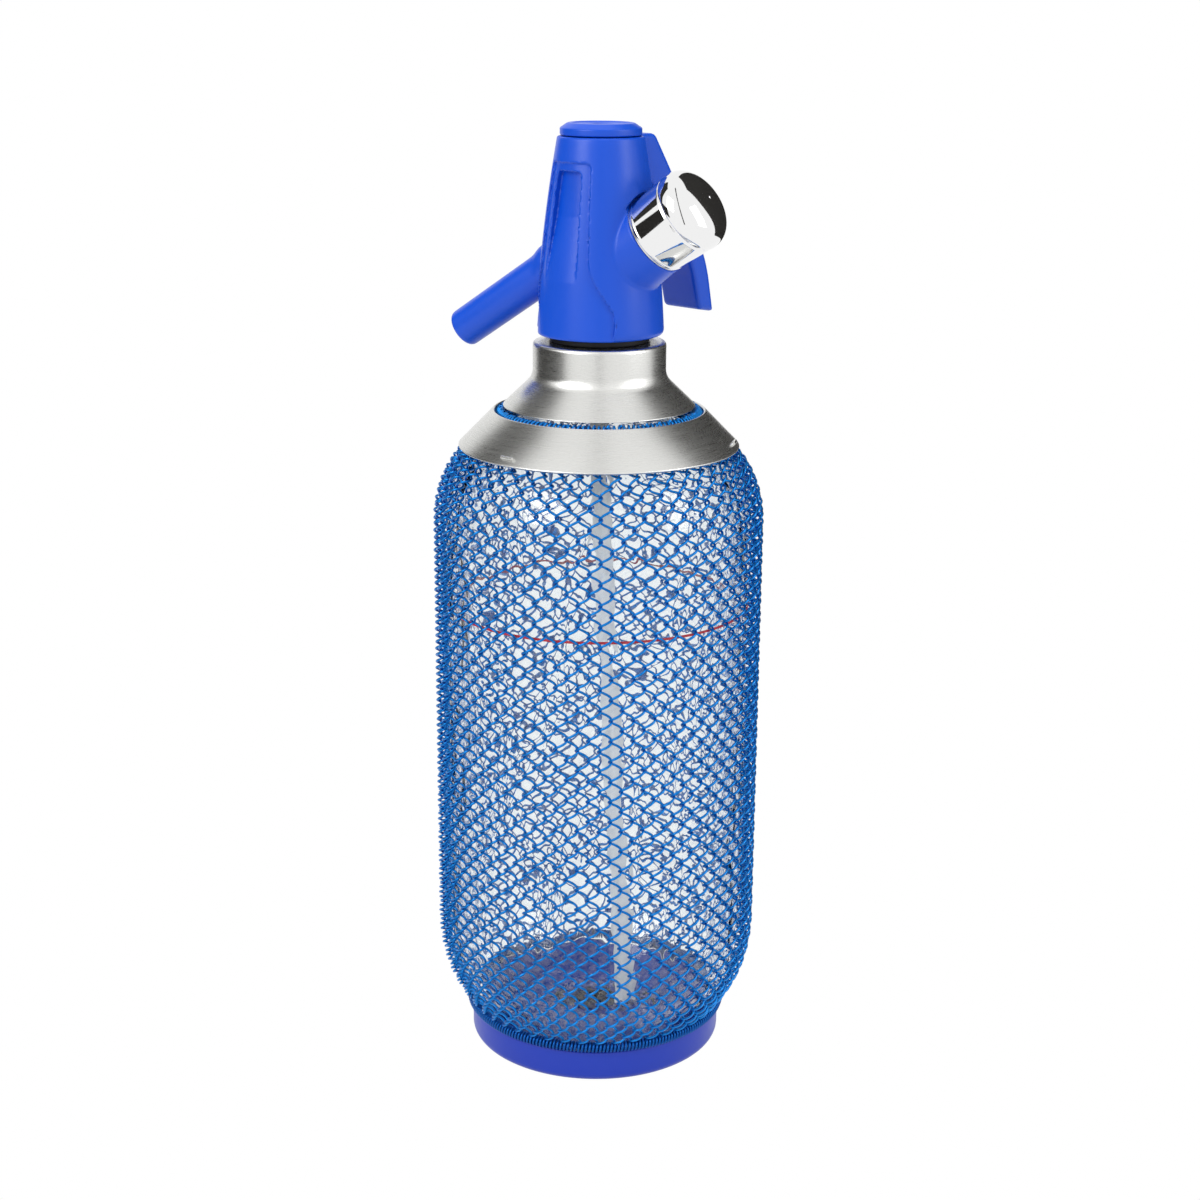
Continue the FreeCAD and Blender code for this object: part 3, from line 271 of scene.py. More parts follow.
def tube(line, wire, sides, closed=False):
    """Points and quads of a round wire along a line, its rings square to the way and free of twist at Z."""
    way = np.roll(line, -1, 0) - np.roll(line, 1, 0)
    if not closed:
        way[0], way[-1] = line[1] - line[0], line[-1] - line[-2]
    way /= np.linalg.norm(way, axis=1)[:, None]
    side = np.cross(way, (0, 0, 1.0))
    side /= np.linalg.norm(side, axis=1)[:, None]
    rise = np.cross(side, way)
    turn = np.linspace(0, 2 * math.pi, sides, endpoint=False)
    ring = side[:, None] * np.cos(turn)[:, None] + rise[:, None] * np.sin(turn)[:, None]
    points = (line[:, None] + wire * ring).reshape(-1, 3)
    return points, grid_faces(len(line), sides, closed)[:, ::-1]


def together(parts):
    """Several (points, quads) as one."""
    shift, points, faces = 0, [], []
    for p, f in parts:
        points.append(p)
        faces.append(f + shift)
        shift += len(p)
    return np.concatenate(points), np.concatenate(faces)


# Solids given by a distance field

def smooth_max(a, b, width):
    """The larger of two fields, rounded over a width where they meet."""
    near = np.clip(0.5 + 0.5 * (a - b) / width, 0, 1)
    return a * near + b * (1 - near) + width * near * (1 - near)


def smooth_min(a, b, width):
    """The smaller of two fields, rounded over a width where they meet."""
    return -smooth_max(-a, -b, width)


def polygon(x, y, corners):
    """Signed distance to a closed polygon: the least distance to a side, below 0 inside."""
    best = np.full(x.shape, 1e9)
    inside = np.zeros(x.shape, bool)
    for (ax, ay), (bx, by) in zip(corners, np.roll(corners, -1, 0)):
        ex, ey, px, py = bx - ax, by - ay, x - ax, y - ay
        share = np.clip((px * ex + py * ey) / (ex * ex + ey * ey), 0, 1)
        best = np.minimum(best, (px - ex * share) ** 2 + (py - ey * share) ** 2)
        if ay != by:
            crossed = (ay > y) != (by > y)
            inside ^= crossed & (x < ex * (y - ay) / ey + ax)
    return np.sqrt(best) * np.where(inside, -1, 1)


def surface(field, low, high, step):
    """Quads on a field's zero level: one point in each grid cell that the surface crosses, moved onto it."""
    axes = [np.arange(a, b + step, step) for a, b in zip(low, high)]
    value = field(*np.meshgrid(*axes, indexing="ij"))
    shape = np.array(value.shape)
    cells, spots, quads = [], [], []
    for axis in range(3):
        lower = np.take(value, range(shape[axis] - 1), axis)
        upper = np.take(value, range(1, shape[axis]), axis)
        index = np.argwhere((lower < 0) != (upper < 0))
        a, b = lower[tuple(index.T)], upper[tuple(index.T)]
        spot = index.astype(float)
        spot[:, axis] += a / (a - b)
        one, two = np.eye(3, dtype=int)[(axis + 1) % 3], np.eye(3, dtype=int)[(axis + 2) % 3]
        around = [index, index - one, index - one - two, index - two]
        ids = np.stack([np.ravel_multi_index(c.T, shape) for c in around], 1)
        ids[a > 0] = ids[a > 0][:, ::-1]
        quads.append(ids)
        for c in around:
            cells.append(np.ravel_multi_index(c.T, shape))
            spots.append(spot)
    used, place = np.unique(np.concatenate(cells), return_inverse=True)
    spots = np.concatenate(spots)
    count = np.bincount(place)
    points = np.stack([np.bincount(place, spots[:, k]) / count for k in range(3)], 1) * step + np.array(low)
    return settled(points, field, step), np.searchsorted(used, np.concatenate(quads))


def settled(points, field, step):
    """Points moved along the field's slope to its zero level, by less than half a cell."""
    start = points.copy()
    reach = step * 0.1
    for _ in range(3):
        value = field(*points.T)
        slope = np.stack([
            field(*(points + reach * way).T) - field(*(points - reach * way).T) for way in np.eye(3)], 1)
        slope /= 2 * reach
        points = points - (value / np.maximum((slope ** 2).sum(1), 0.25))[:, None] * slope
        points = start + np.clip(points - start, -0.5 * step, 0.5 * step)
    return points


# Materials

def new_material(name, base, rough, metal=0.0):
    """A material with its Principled shader, colour, roughness and metalness set."""
    material = bpy.data.materials.new(name)
    material.use_nodes = True
    shader = material.node_tree.nodes["Principled BSDF"]
    shader.inputs["Base Color"].default_value = (*base, 1)
    shader.inputs["Roughness"].default_value = rough
    shader.inputs["Metallic"].default_value = metal
    return material, shader


def add(material, kind, inputs=None, **settings):
    """A node of a kind with its settings and its inputs set or linked."""
    node = material.node_tree.nodes.new(kind)
    for key, value in settings.items():
        setattr(node, key, value)
    for key, value in (inputs or {}).items():
        if isinstance(value, bpy.types.NodeSocket):
            material.node_tree.links.new(value, node.inputs[key])
        else:
            node.inputs[key].default_value = value
    return node


def grain(millimetres):
    """The scale of a noise on metres whose features are so wide."""
    return 1 / (millimetres * MM)


def place_of(material, stretch=(1, 1, 1)):
    """Object coordinates in metres, stretched."""
    spot = add(material, "ShaderNodeTexCoord").outputs["Object"]
    return add(material, "ShaderNodeMapping", {"Vector": spot, "Scale": stretch}).outputs["Vector"]


def rough_and_bump(material, shader, noise, low, high, height):
    """Let a noise set the roughness between low and high and raise the surface by a height in metres."""
    link = material.node_tree.links.new
    spread = add(material, "ShaderNodeMapRange", {"Value": noise, "To Min": low, "To Max": high})
    link(spread.outputs["Result"], shader.inputs["Roughness"])
    bump = add(material, "ShaderNodeBump", {"Height": noise, "Strength": 1.0, "Distance": height})
    link(bump.outputs["Normal"], shader.inputs["Normal"])


def moulded_plastic(name, base, rough=0.34):
    """Moulded plastic: a satin skin with faint orange peel 3 mm wide, and a slow drift of its colour."""
    material, shader = new_material(name, base, rough)
    peel = add(material, "ShaderNodeTexNoise", {"Vector": place_of(material), "Scale": grain(3.125), "Detail": 4.0})
    rough_and_bump(material, shader, peel.outputs["Fac"], rough - 0.05, rough + 0.07, 0.00002)
    drift = add(material, "ShaderNodeTexNoise", {"Vector": place_of(material), "Scale": grain(40), "Detail": 2.0})
    mix = add(material, "ShaderNodeMix", {"Factor": drift.outputs["Fac"]}, data_type="RGBA")
    mix.inputs["A"].default_value = (*[c * 0.9 for c in base], 1)
    mix.inputs["B"].default_value = (*[min(c * 1.08 + 0.002, 1) for c in base], 1)
    material.node_tree.links.new(mix.outputs["Result"], shader.inputs["Base Color"])
    shader.inputs["IOR"].default_value = 1.46
    return material


def anodised_wire(name, base, rough=0.3):
    """Anodised aluminium wire: bright metal seen through a blue skin, which gives each turn a blue highlight.

    Drawing marks 1.1 mm wide and three times as long along Z make the highlights uneven.
    """
    material, shader = new_material(name, base, rough, 0.85)
    marks = add(material, "ShaderNodeTexNoise", {
        "Vector": place_of(material, (1, 1, 0.3)), "Scale": grain(10 / 9), "Detail": 3.0})
    rough_and_bump(material, shader, marks.outputs["Fac"], rough - 0.08, rough + 0.1, 0.00001)
    return material


def brushed_steel(name, base):
    """Spun stainless sheet: hair lines round the bottle's axis, from noise on radius and height.

    The lines are 0.17 mm wide, coarser than the real ones, so that they show.
    """
    material, shader = new_material(name, base, 0.3, 1.0)
    spot = add(material, "ShaderNodeTexCoord").outputs["Object"]
    parts = add(material, "ShaderNodeSeparateXYZ", {"Vector": spot})
    flat = add(material, "ShaderNodeCombineXYZ", {"X": parts.outputs["X"], "Y": parts.outputs["Y"]})
    radius = add(material, "ShaderNodeVectorMath", {0: flat.outputs["Vector"]}, operation="LENGTH")
    turn = add(material, "ShaderNodeVectorMath", {0: flat.outputs["Vector"]}, operation="NORMALIZE")
    slow = add(material, "ShaderNodeVectorMath", {0: turn.outputs["Vector"]}, operation="SCALE")
    slow.inputs["Scale"].default_value = 0.0007
    rings = add(material, "ShaderNodeCombineXYZ", {"X": radius.outputs["Value"], "Z": parts.outputs["Z"]})
    where = add(material, "ShaderNodeVectorMath", {0: rings.outputs["Vector"], 1: slow.outputs["Vector"]})
    hair = add(material, "ShaderNodeTexNoise", {
        "Vector": where.outputs["Vector"], "Scale": grain(1 / 6), "Detail": 3.0})
    rough_and_bump(material, shader, hair.outputs["Fac"], 0.2, 0.36, 0.000006)
    shader.inputs["Anisotropic"].default_value = 0.55
    tangent = add(material, "ShaderNodeTangent", direction_type="RADIAL", axis="Z")
    material.node_tree.links.new(tangent.outputs["Tangent"], shader.inputs["Tangent"])
    return material


def polished_metal(name, base, rough):
    """Polished or turned metal: a sharp mirror of the room, dulled here and there by haze 8 mm wide."""
    material, shader = new_material(name, base, rough, 1.0)
    haze = add(material, "ShaderNodeTexNoise", {"Vector": place_of(material), "Scale": grain(25 / 3), "Detail": 3.0})
    rough_and_bump(material, shader, haze.outputs["Fac"], rough * 0.7, rough * 1.4, 0.000004)
    return material


def clear_glass(name):
    """Blown soda glass: clear, and its wall waves by up to 0.9 mm over 17 mm, longer upwards, which bends
    what stands behind it. Shadow rays pass, so that the lamps light what stands inside."""
    material, shader = new_material(name, linear("#F6F9FA"), 0.02)
    shader.inputs["Transmission Weight"].default_value = 1.0
    shader.inputs["IOR"].default_value = 1.5
    wave = add(material, "ShaderNodeTexNoise", {
        "Vector": place_of(material, (1, 1, 0.5)), "Scale": grain(50 / 3), "Detail": 2.0,
        "Distortion": 0.6})
    bump = add(material, "ShaderNodeBump", {"Height": wave.outputs["Fac"], "Strength": 1.0, "Distance": 0.0009})
    link = material.node_tree.links.new
    link(bump.outputs["Normal"], shader.inputs["Normal"])
    path = add(material, "ShaderNodeLightPath")
    clear = add(material, "ShaderNodeBsdfTransparent", {"Color": (*linear("#F6F9FA"), 1)})
    mix = add(material, "ShaderNodeMixShader", {
        "Fac": path.outputs["Is Shadow Ray"], 1: shader.outputs["BSDF"], 2: clear.outputs["BSDF"]})
    link(mix.outputs["Shader"], material.node_tree.nodes["Material Output"].inputs["Surface"])
    return material


def enamel(name, base):
    """Printed enamel: a thin glossy layer whose gloss varies over 2 mm, as its cover is uneven."""
    material, shader = new_material(name, base, 0.35)
    cover = add(material, "ShaderNodeTexNoise", {"Vector": place_of(material), "Scale": grain(2), "Detail": 2.0})
    rough_and_bump(material, shader, cover.outputs["Fac"], 0.25, 0.45, 0.00001)
    return material


def soft_rubber(name, base):
    """Moulded rubber: dull black whose fine grain, 0.7 mm wide, breaks up every highlight."""
    material, shader = new_material(name, base, 0.6)
    skin = add(material, "ShaderNodeTexNoise", {"Vector": place_of(material), "Scale": grain(2 / 3), "Detail": 4.0})
    rough_and_bump(material, shader, skin.outputs["Fac"], 0.5, 0.75, 0.00002)
    return material


# Shapes of the siphon

def shoulder_point(along, out):
    """A point on the shoulder: so far up its straight slope and so far out from the glass."""
    lean, radius = size("shoulder_angle"), size("shoulder_round")
    start = size("glass_radius") - radius * (1 - math.cos(lean))
    rise = size("shoulder_start") + radius * math.sin(lean)
    return (start - along * math.sin(lean) + out * math.cos(lean),
            rise + along * math.cos(lean) + out * math.sin(lean))


def foot_round(reach, rise):
    """Radius of the arc that starts level and rises to upright, or near it, over a reach."""
    return (reach * reach + rise * rise) / (2 * reach)


def glass_profile():
    """The bottle's closed outline: foot, straight wall, shoulder, neck and lip, and back down inside."""
    radius, wall = size("glass_radius"), size("glass_wall")
    foot, rise, floor = size("foot_radius"), size("foot_height"), size("glass_floor")
    start, mouth, cone = size("shoulder_start"), size("mouth_height"), size("cone_length") - 2
    neck, bore, lip, under = size("neck_radius"), size("neck_bore"), size("lip_radius"), mouth - size("lip_height")
    neck_foot = mouth - 12
    outer = [
        bend((foot, floor), (radius, rise), foot_round(radius - foot, rise - floor), 40),
        np.stack([np.full(30, radius), np.linspace(rise, start, 32)[1:-1]], 1),
        bend((radius, start), shoulder_point(0, 0), size("shoulder_round"), 24),
        softened([
            shoulder_point(0.5, 0), (*shoulder_point(cone, 0), 3), (neck, neck_foot, 3), (neck, under, 0.6),
            (lip, under, 1.6), (lip, mouth, 1.6), (bore, mouth, 1.2), (bore, neck_foot - 1.2, 4),
            (*shoulder_point(cone, -wall), 4), shoulder_point(0.5, -wall)])]
    inner = [
        bend(shoulder_point(0, -wall), (radius - wall, start), wall - size("shoulder_round"), 24),
        np.stack([np.full(30, radius - wall), np.linspace(start, rise, 32)[1:-1]], 1),
        bend((radius - wall, rise), (foot, floor + wall),
             -foot_round(radius - wall - foot, rise - floor - wall), 40),
        np.array([(15, floor + wall + 1.6), (AXIS, floor + wall + 2.4), (AXIS, floor + 1.4), (22, floor + 0.8)])]
    return np.concatenate(outer + inner)


def make_bottle():
    """The glass, and the fill line as a thin band round it."""
    put("glass_wall", *revolved(glass_profile(), 240), clear_glass("blown_glass"), "bottle",
        "clear_glass", ("glass_bottle",))
    near, height, half = size("glass_radius") + 0.02, size("line_height"), size("line_width") / 2
    far = near + 0.12
    band = softened([(near, height - half), (far, height - half, 0.05), (far, height + half, 0.05),
                     (near, height + half)])
    put("fill_line", *revolved(band, 240), enamel("red_enamel", tone("line")), "bottle", None)


def sleeve_line(steps=500):
    """The coils' centre line as radius and height at even steps, with the length from the hem at each."""
    out, radius, rise = size("coil_offset"), size("glass_radius"), size("foot_height")
    hem, top = (size("garter_ring"), size("garter_height") + 1.5), (radius + out, rise)
    arc = foot_round(top[0] - hem[0], top[1] - hem[1])
    line = np.concatenate([
        bend(hem, top, arc, 60), [(radius + out, size("shoulder_start"))],
        bend((radius + out, size("shoulder_start")), shoulder_point(0, out), size("shoulder_round") + out, 40)[1:],
        [shoulder_point(size("cone_length") + 1.0, out)]])
    reach = np.concatenate([[0], np.cumsum(np.hypot(*np.diff(line, axis=0).T))])
    even = np.linspace(0, reach[-1], steps)
    return np.stack([np.interp(even, reach, line[:, k]) for k in (0, 1)], 1), even


def coil(number, line, reach):
    """One upright coil of the sleeve: along the centre line, it goes round by a turn each pitch.

    Across, it reaches half the distance to its neighbour's line plus a wire, so that the two are linked;
    outwards it reaches the coil's depth, less near the hem. Neighbours are half a turn apart, and two slow
    sines of the azimuth shift each coil by up to 0.055 of a turn, as in a sleeve drawn on by hand.
    """
    pitch, wire = size("coil_pitch"), size("coil_wire")
    turns = reach[-1] / pitch
    share = np.linspace(0, 1, int(turns * 16))
    along = share * reach[-1]
    radius, height = np.interp(along, reach, line[:, 0]), np.interp(along, reach, line[:, 1])
    slope = np.gradient(np.stack([radius, height], 1), along, axis=0)
    across = math.pi * radius / size("coils") + wire * 1.04
    opening = 0.5 + 0.5 * np.clip(along / 14, 0, 1)
    deep = size("coil_depth") * opening * (1 + 0.15 * (1 - radius / radius.max()))
    azimuth = 2 * math.pi * number / size("coils")
    sway = 0.035 * math.sin(azimuth * 3 + 1) + 0.02 * math.sin(azimuth * 11)
    turn = 2 * math.pi * (along / pitch + 0.5 * (number % 2) + sway)
    side, out = -across * np.cos(turn), deep * np.sin(turn)
    flat = radius + out * slope[:, 1]
    points = np.stack([
        flat * math.cos(azimuth) - side * math.sin(azimuth),
        flat * math.sin(azimuth) + side * math.cos(azimuth), height - out * slope[:, 0]], 1)
    return tube(points, wire, 6)


def make_sleeve():
    """The wire sleeve: upright coils, each linked with the next, in four pieces."""
    wire = anodised_wire("blue_anodised_wire", tone("wire"))
    line, reach = sleeve_line()
    quarter = size("coils") // 4 + 1
    for k in range(4):
        numbers = range(k * quarter, min((k + 1) * quarter, size("coils")))
        points, faces = together([coil(number, line, reach) for number in numbers])
        put(f"sleeve_coils_{k + 1}", points, faces, wire, "bottle", "blue_wire", ("mesh_sleeve",))
    hem = ring_coil(*shoulder_point(size("cone_length") - 0.2, 2.6), size("hem_coil"), size("hem_turns"))
    put("sleeve_hem", *tube(hem, size("coil_wire"), 6, True), wire, "bottle", "blue_wire", ("mesh_sleeve",))


def ring_coil(ring, height, reach, turns):
    """The centre line of a coil bent round into a closed ring: turns times round its own ring."""
    turn = np.linspace(0, 2 * math.pi, turns * 16, endpoint=False)
    radius = ring + reach * np.cos(turn * turns)
    return np.stack([radius * np.cos(turn), radius * np.sin(turn), height + reach * np.sin(turn * turns)], 1)


def make_garter():
    """The garter spring: a close coil bent round the foot, turns times round its own ring."""
    line = ring_coil(size("garter_ring"), size("garter_height"), size("garter_coil"), size("garter_turns"))
    put("garter_coils", *tube(line, size("garter_wire"), 6, True),
        anodised_wire("blue_spring_wire", tone("garter"), 0.34), "bottle", "blue_wire", ("garter_spring",))


def make_base():
    """The base cup: a shallow cup with a rounded lower edge and a rolled rim."""
    radius, edge, high, floor = size("base_radius"), size("base_round"), size("base_height"), size("base_floor")
    inside = radius - size("base_wall")
    profile = np.concatenate([
        [(AXIS, 0), (radius - 7, 0)], bend((radius - edge, 0), (radius, edge), edge, 10),
        softened([(radius, edge + 0.2), (radius, high, 0.6), (inside, high, 0.6), (inside, floor, 1.5),
                  (AXIS, floor)])])
    put("base_shell", *revolved(profile, 200), moulded_plastic("ultramarine_plastic", tone("base"), 0.36),
        "bottle", "base_plastic", ("base_cup",))


def make_shoulder():
    """The shoulder band and the collar, spun from sheet, with their rims turned over."""
    steel = brushed_steel("spun_stainless", tone("steel"))
    near, wall, low, high = size("band_gap"), size("sheet"), size("band_low"), size("band_high")
    band = softened([
        shoulder_point((low + high) / 2, near), (*shoulder_point(low, near), 0.2),
        (*shoulder_point(low, near + wall), 0.45), (*shoulder_point(high, near + wall), 0.45),
        (*shoulder_point(high, near), 0.2), shoulder_point((low + high) / 2 + 0.1, near)])
    put("band_sheet", *revolved(band, 240), steel, "bottle", "brushed_steel", ("shoulder_band",))
    radius, top, foot, bottom = (size(f"collar_{name}") for name in ("radius", "high", "foot", "low"))
    collar = softened([
        (15.0, top - wall), (radius - wall, top - wall, 0.8), (radius - wall, bottom + 9.8, 2),
        (foot - 1.1, bottom, 0.2), (foot, bottom, 0.6), (radius, bottom + 9.5, 2.6), (radius, top, 1.3),
        (15.0, top)])
    put("collar_sheet", *revolved(collar, 240), steel, "bottle", "brushed_steel", ("neck_collar",))


def make_gasket():
    """The neck gasket: a flat ring with a rounded rim between the collar and the head."""
    low, high, bore, rim = size("collar_high"), size("head_low"), 14.2, 16.1
    profile = softened([(bore, low + 1.1), (bore, low, 0.2), (rim, low, 0.7), (rim, high, 0.7),
                        (bore, high, 0.2), (bore, low + 1.2)])
    put("gasket_ring", *revolved(profile, 160), soft_rubber("black_rubber_ring", tone("rubber")),
        "neck_gasket", "black_rubber", ("neck_gasket",))


def cone_radius(height):
    """The head's radius at a height: a straight line from foot to top plus a parabola's bulge."""
    share = (height - size("head_low")) / (size("head_high") - size("head_low"))
    straight = size("head_low_radius") + (size("head_high_radius") - size("head_low_radius")) * share
    return straight + 4 * size("head_bulge") * share * (1 - share)


def along_line(x, y, z, place):
    """Distance from a tilted line and length along it."""
    way, root = place[:3, 2], place[:3, 3]
    dx, dy, dz = x - root[0], y - root[1], z - root[2]
    along = dx * way[0] + dy * way[1] + dz * way[2]
    return np.sqrt(np.maximum(dx * dx + dy * dy + dz * dz - along * along, 0)), along


def port_place():
    """The place whose Z runs along the port's line."""
    return tilted(size("port_root"), size("port_azimuth"), size("port_rise"))


def spout_place():
    """The place whose Z runs along the spout's line."""
    return tilted(size("spout_root"), math.pi, -size("spout_drop"))


def panel_cut(x, y, z, cone):
    """The grip panel and its finger recess, opposite the lever, as a field below 0 where they are cut."""
    turn = size("lever_azimuth") + math.pi
    out = x * math.cos(turn) + y * math.sin(turn)
    across = -x * math.sin(turn) + y * math.cos(turn)
    top = size("head_high") - size("panel_drop")
    panel = softened([(0, top), (-8.2, top, 2), (-10.6, top - 33, 3), (-17.2, top - 46, 3),
                      (-17.2, top - 60), (17.2, top - 60), (17.2, top - 46, 3), (10.6, top - 33, 3),
                      (8.2, top, 2), (0.1, top)])
    # The recess starts below the panel's upper edge and gets shallower towards its foot.
    top -= 2.6
    recess = softened([(0, top), (-5.2, top, 2), (-6.8, top - 36), (6.8, top - 36), (5.2, top, 2), (0.1, top)])
    fade = np.clip((z - (top - 34)) / 20, 0, 1)
    depth = size("panel_depth")
    wide = np.maximum(polygon(across, z, panel), -(cone + depth))
    deep = np.maximum(polygon(across, z, recess), -(cone + depth + size("recess_depth") * fade))
    return np.maximum(np.minimum(wide, deep), -out)


def slot_outline():
    """The lever's slot seen from the side, as (out, up)."""
    high, foot = size("head_high"), size("head_low") + 11.5
    deck, inner, outer = high - 4.1, 4.0, cone_radius(foot) + 30
    return np.array([
        (9.8, high + 5), (9.8, deck), (inner, deck), (inner, high - 17.5),
        (cone_radius(foot + 15) - 2.2, foot + 15), (cone_radius(foot), foot), (outer, foot), (outer, high + 5)])


def head_field(x, y, z):
    """The head: a rounded cone joined to the port's barrel, less the hollow, slot, panel and seats.

    A field is a length in millimetres below 0 inside; the larger of two is what both share, the smaller is
    both together, and the larger of one and the other's negative is the one less the other.
    """
    low, high, port, end = size("head_low"), size("head_high"), size("port_radius"), size("port_length")
    radius = np.sqrt(x * x + y * y)
    cone = (radius - cone_radius(z)) * 0.995
    solid = smooth_max(smooth_max(cone, low - z, 2.2), z - high, 0.7)
    off, along = along_line(x, y, z, port_place())
    # The barrel widens by 7% of the way towards the head, and the cap has room beyond its end.
    barrel = off - port - 0.07 * np.maximum(end - 1 - along, 0)
    barrel = smooth_max(barrel, along - end, 0.6)
    solid = smooth_min(solid, np.maximum(barrel, -along), 0.7)
    room = np.maximum(off - port - 0.9, end - along)
    solid = smooth_max(solid, -room, 0.4)
    solid = smooth_max(solid, -panel_cut(x, y, z, cone), 0.25)
    turn = size("lever_azimuth")
    out, side = x * math.cos(turn) + y * math.sin(turn), -x * math.sin(turn) + y * math.cos(turn)
    slot = np.maximum(polygon(out, z, slot_outline()), np.abs(side) - size("lever_width") / 2 - 0.5)
    solid = smooth_max(solid, -slot, 0.5)
    # The hollow leaves a wall, a floor, a roof and the stuff round the port, and then come the three seats.
    hollow = np.maximum(np.maximum(cone + 4.2, low + 2.4 - z), z - high + 2.6)
    hollow = np.maximum(hollow, -np.maximum(off - port - 2.0, 12 - along))
    solid = np.maximum(solid, -hollow)
    nipple = np.maximum(off - 7.5, 12 - along)
    core = np.maximum(radius - 14.3, z - low - 3)
    lid = np.maximum(radius - 9.45, high - 4 - z)
    return np.maximum(solid, -np.minimum(np.minimum(nipple, core), lid))


def make_head():
    """The moulded head from its distance field, on a grid of half a millimetre."""
    points, faces = surface(head_field, (-23, -23, 244), (38, 24, 310), GRID)
    put("head_shell", points, faces, head_plastic(), "head", "head_plastic", ("head_body",))


def head_plastic():
    """The head's plastic, made once."""
    found = bpy.data.materials.get("royal_blue_plastic")
    return found or moulded_plastic("royal_blue_plastic", tone("head"))


def make_lid():
    """The lid: a bevelled disc with a shallow dished top and a plug below."""
    high, rim, plug, well = size("head_high"), size("lid_radius"), 9.4, 4.25
    top, dish = high + size("lid_height"), high + size("lid_height") - 0.4
    profile = softened([
        (AXIS, high + 1.5), (well, high + 1.5, 0.3), (well, high - 3.4, 0.3), (plug, high - 3.4, 0.3),
        (plug, high + 0.3, 0.2), (rim - 0.3, high + 0.3, 0.2), (rim, high + 0.6, 0.2), (rim, high + 2.5, 0.35),
        (rim - 2.4, top, 0.6), (9.6, top, 0.4), (9.0, dish, 0.4), (AXIS, dish)])
    put("lid_disc", *revolved(profile, 160), head_plastic(), "head", "head_plastic", ("head_lid",))


def make_spout():
    """The spout: a collar at the root, then a nearly straight barrel with a rounded lip, and the bore."""
    reach, outer, bore, collar = (size(f"spout_{name}") for name in ("reach", "radius", "bore", "collar"))
    shank, start = 4.2, 13.5
    profile = softened([
        (shank, start - 0.5), (shank, start, 0.1), (collar, start, 0.3), (collar, 20.6, 1.5), (outer + 0.1, 24.0, 3),
        (outer - 0.05, reach, 2.4), (bore + 0.3, reach, 0.3), (bore, reach - 0.8, 0.4), (bore, 9.6),
        (shank, 9.6), (shank, start - 0.6)])
    put("spout_tube", *revolved(profile, 96, spout_place()), head_plastic(), "head", "head_plastic", ("spout",))


def cap_profile():
    """The cap: a sleeve that widens to a bead, a groove, and a dome as a flattened superellipse.

    The dome's radius is the bulge times a cosine and its height the dome times a sine, both to a power
    below 1, which makes the shoulder fuller than an ellipse.
    """
    low, bulge, radius = size("port_length") + 0.6, size("cap_bulge"), size("port_radius")
    rim = low + size("cap_length")
    turn, power = np.linspace(0.0, math.pi / 2, 30), 2 / 2.35
    dome = np.stack([
        bulge * np.cos(turn) ** power, rim + 0.6 + (size("cap_dome") - 0.6) * np.sin(turn) ** power], 1)
    dome[-1, 0] = AXIS
    sleeve = softened([
        (radius - 1.4, low + 0.3), (radius - 1.2, low, 0.3), (radius, low, 0.35), (radius + 0.12, low + 0.8, 0.3),
        (radius - 0.02, low + 1.3, 0.3), (radius + 0.5, rim - 1.2, 0.5), (radius + 0.22, rim - 0.7, 0.3),
        (radius + 0.2, rim - 0.3, 0.3), (bulge - 0.15, rim - 0.05, 0.3), (bulge, rim + 0.6)])
    inner = [(AXIS, rim + 4), (7.5, rim + 4), (7.5, low + 0.3), (8.8, low + 0.3), (8.8, rim - 1),
             (radius - 1.4, rim - 1), (radius - 1.4, low + 0.6)]
    return np.concatenate([sleeve, dome[1:], inner])


def make_cap():
    """The chromed cap, turned round the port's line."""
    put("cap_shell", *revolved(cap_profile(), 160, port_place()),
        polished_metal("mirror_chrome", tone("chrome"), 0.05), "charging_cap", "chrome", ("charging_cap",))


def lever_outline():
    """The lever seen from the side, as (out, up): hub, bend and grip."""
    return softened([
        (9.8, 307.3), (10.4, 302.7, 0.6), (7.6, 302.7, 1.5), (5.6, 299.5, 1.5), (6.6, 296.1, 1.5),
        (12.8, 294.7, 6), (34.4, 267.0, 12), (38.6, 250.4, 1.3), (45.6, 249.2, 1.3), (42.0, 267.3, 14),
        (25.4, 295.0, 12), (16.4, 308.6, 1.6), (9.9, 308.6)], 7)


def lever_field(x, y, z):
    """The lever: its outline as wide as the grip with rounded edges, a fork under the stem's collar.

    It is open below the bend, so that only the top, the sides and the outer skin are left.
    """
    turn = size("lever_azimuth")
    out, side = x * math.cos(turn) + y * math.sin(turn), -x * math.sin(turn) + y * math.cos(turn)
    shape = polygon(out, z, lever_outline())
    grip = smooth_max(shape, np.abs(side) - size("lever_width") / 2, 1.8)
    hollow = np.maximum(np.maximum(shape + 2.2, np.abs(side) - 6.0), z - 286)
    inner = np.maximum(hollow, (out - 33.6) * 0.9 + (z - 267.0) * 0.35)
    fork = np.maximum(np.maximum(np.abs(side) - 3.8, np.abs(z - 300.7) - 1.3), np.abs(out - 4.6) - 3.8)
    notch = np.maximum(np.abs(side) - 1.8, np.abs(out) - 2.6)
    pin = np.sqrt((out - 8.6) ** 2 + (z - 299.5) ** 2) - 1.33
    body = smooth_min(grip, np.maximum(fork, -notch), 0.6)
    return np.maximum(np.maximum(body, -pin), -inner)


def make_lever():
    """The lever from its distance field, on the same grid."""
    points, faces = surface(lever_field, (-12, -2, 247), (28, 48, 311), GRID)
    put("lever_grip", points, faces, head_plastic(), "lever", "head_plastic", ("lever",))


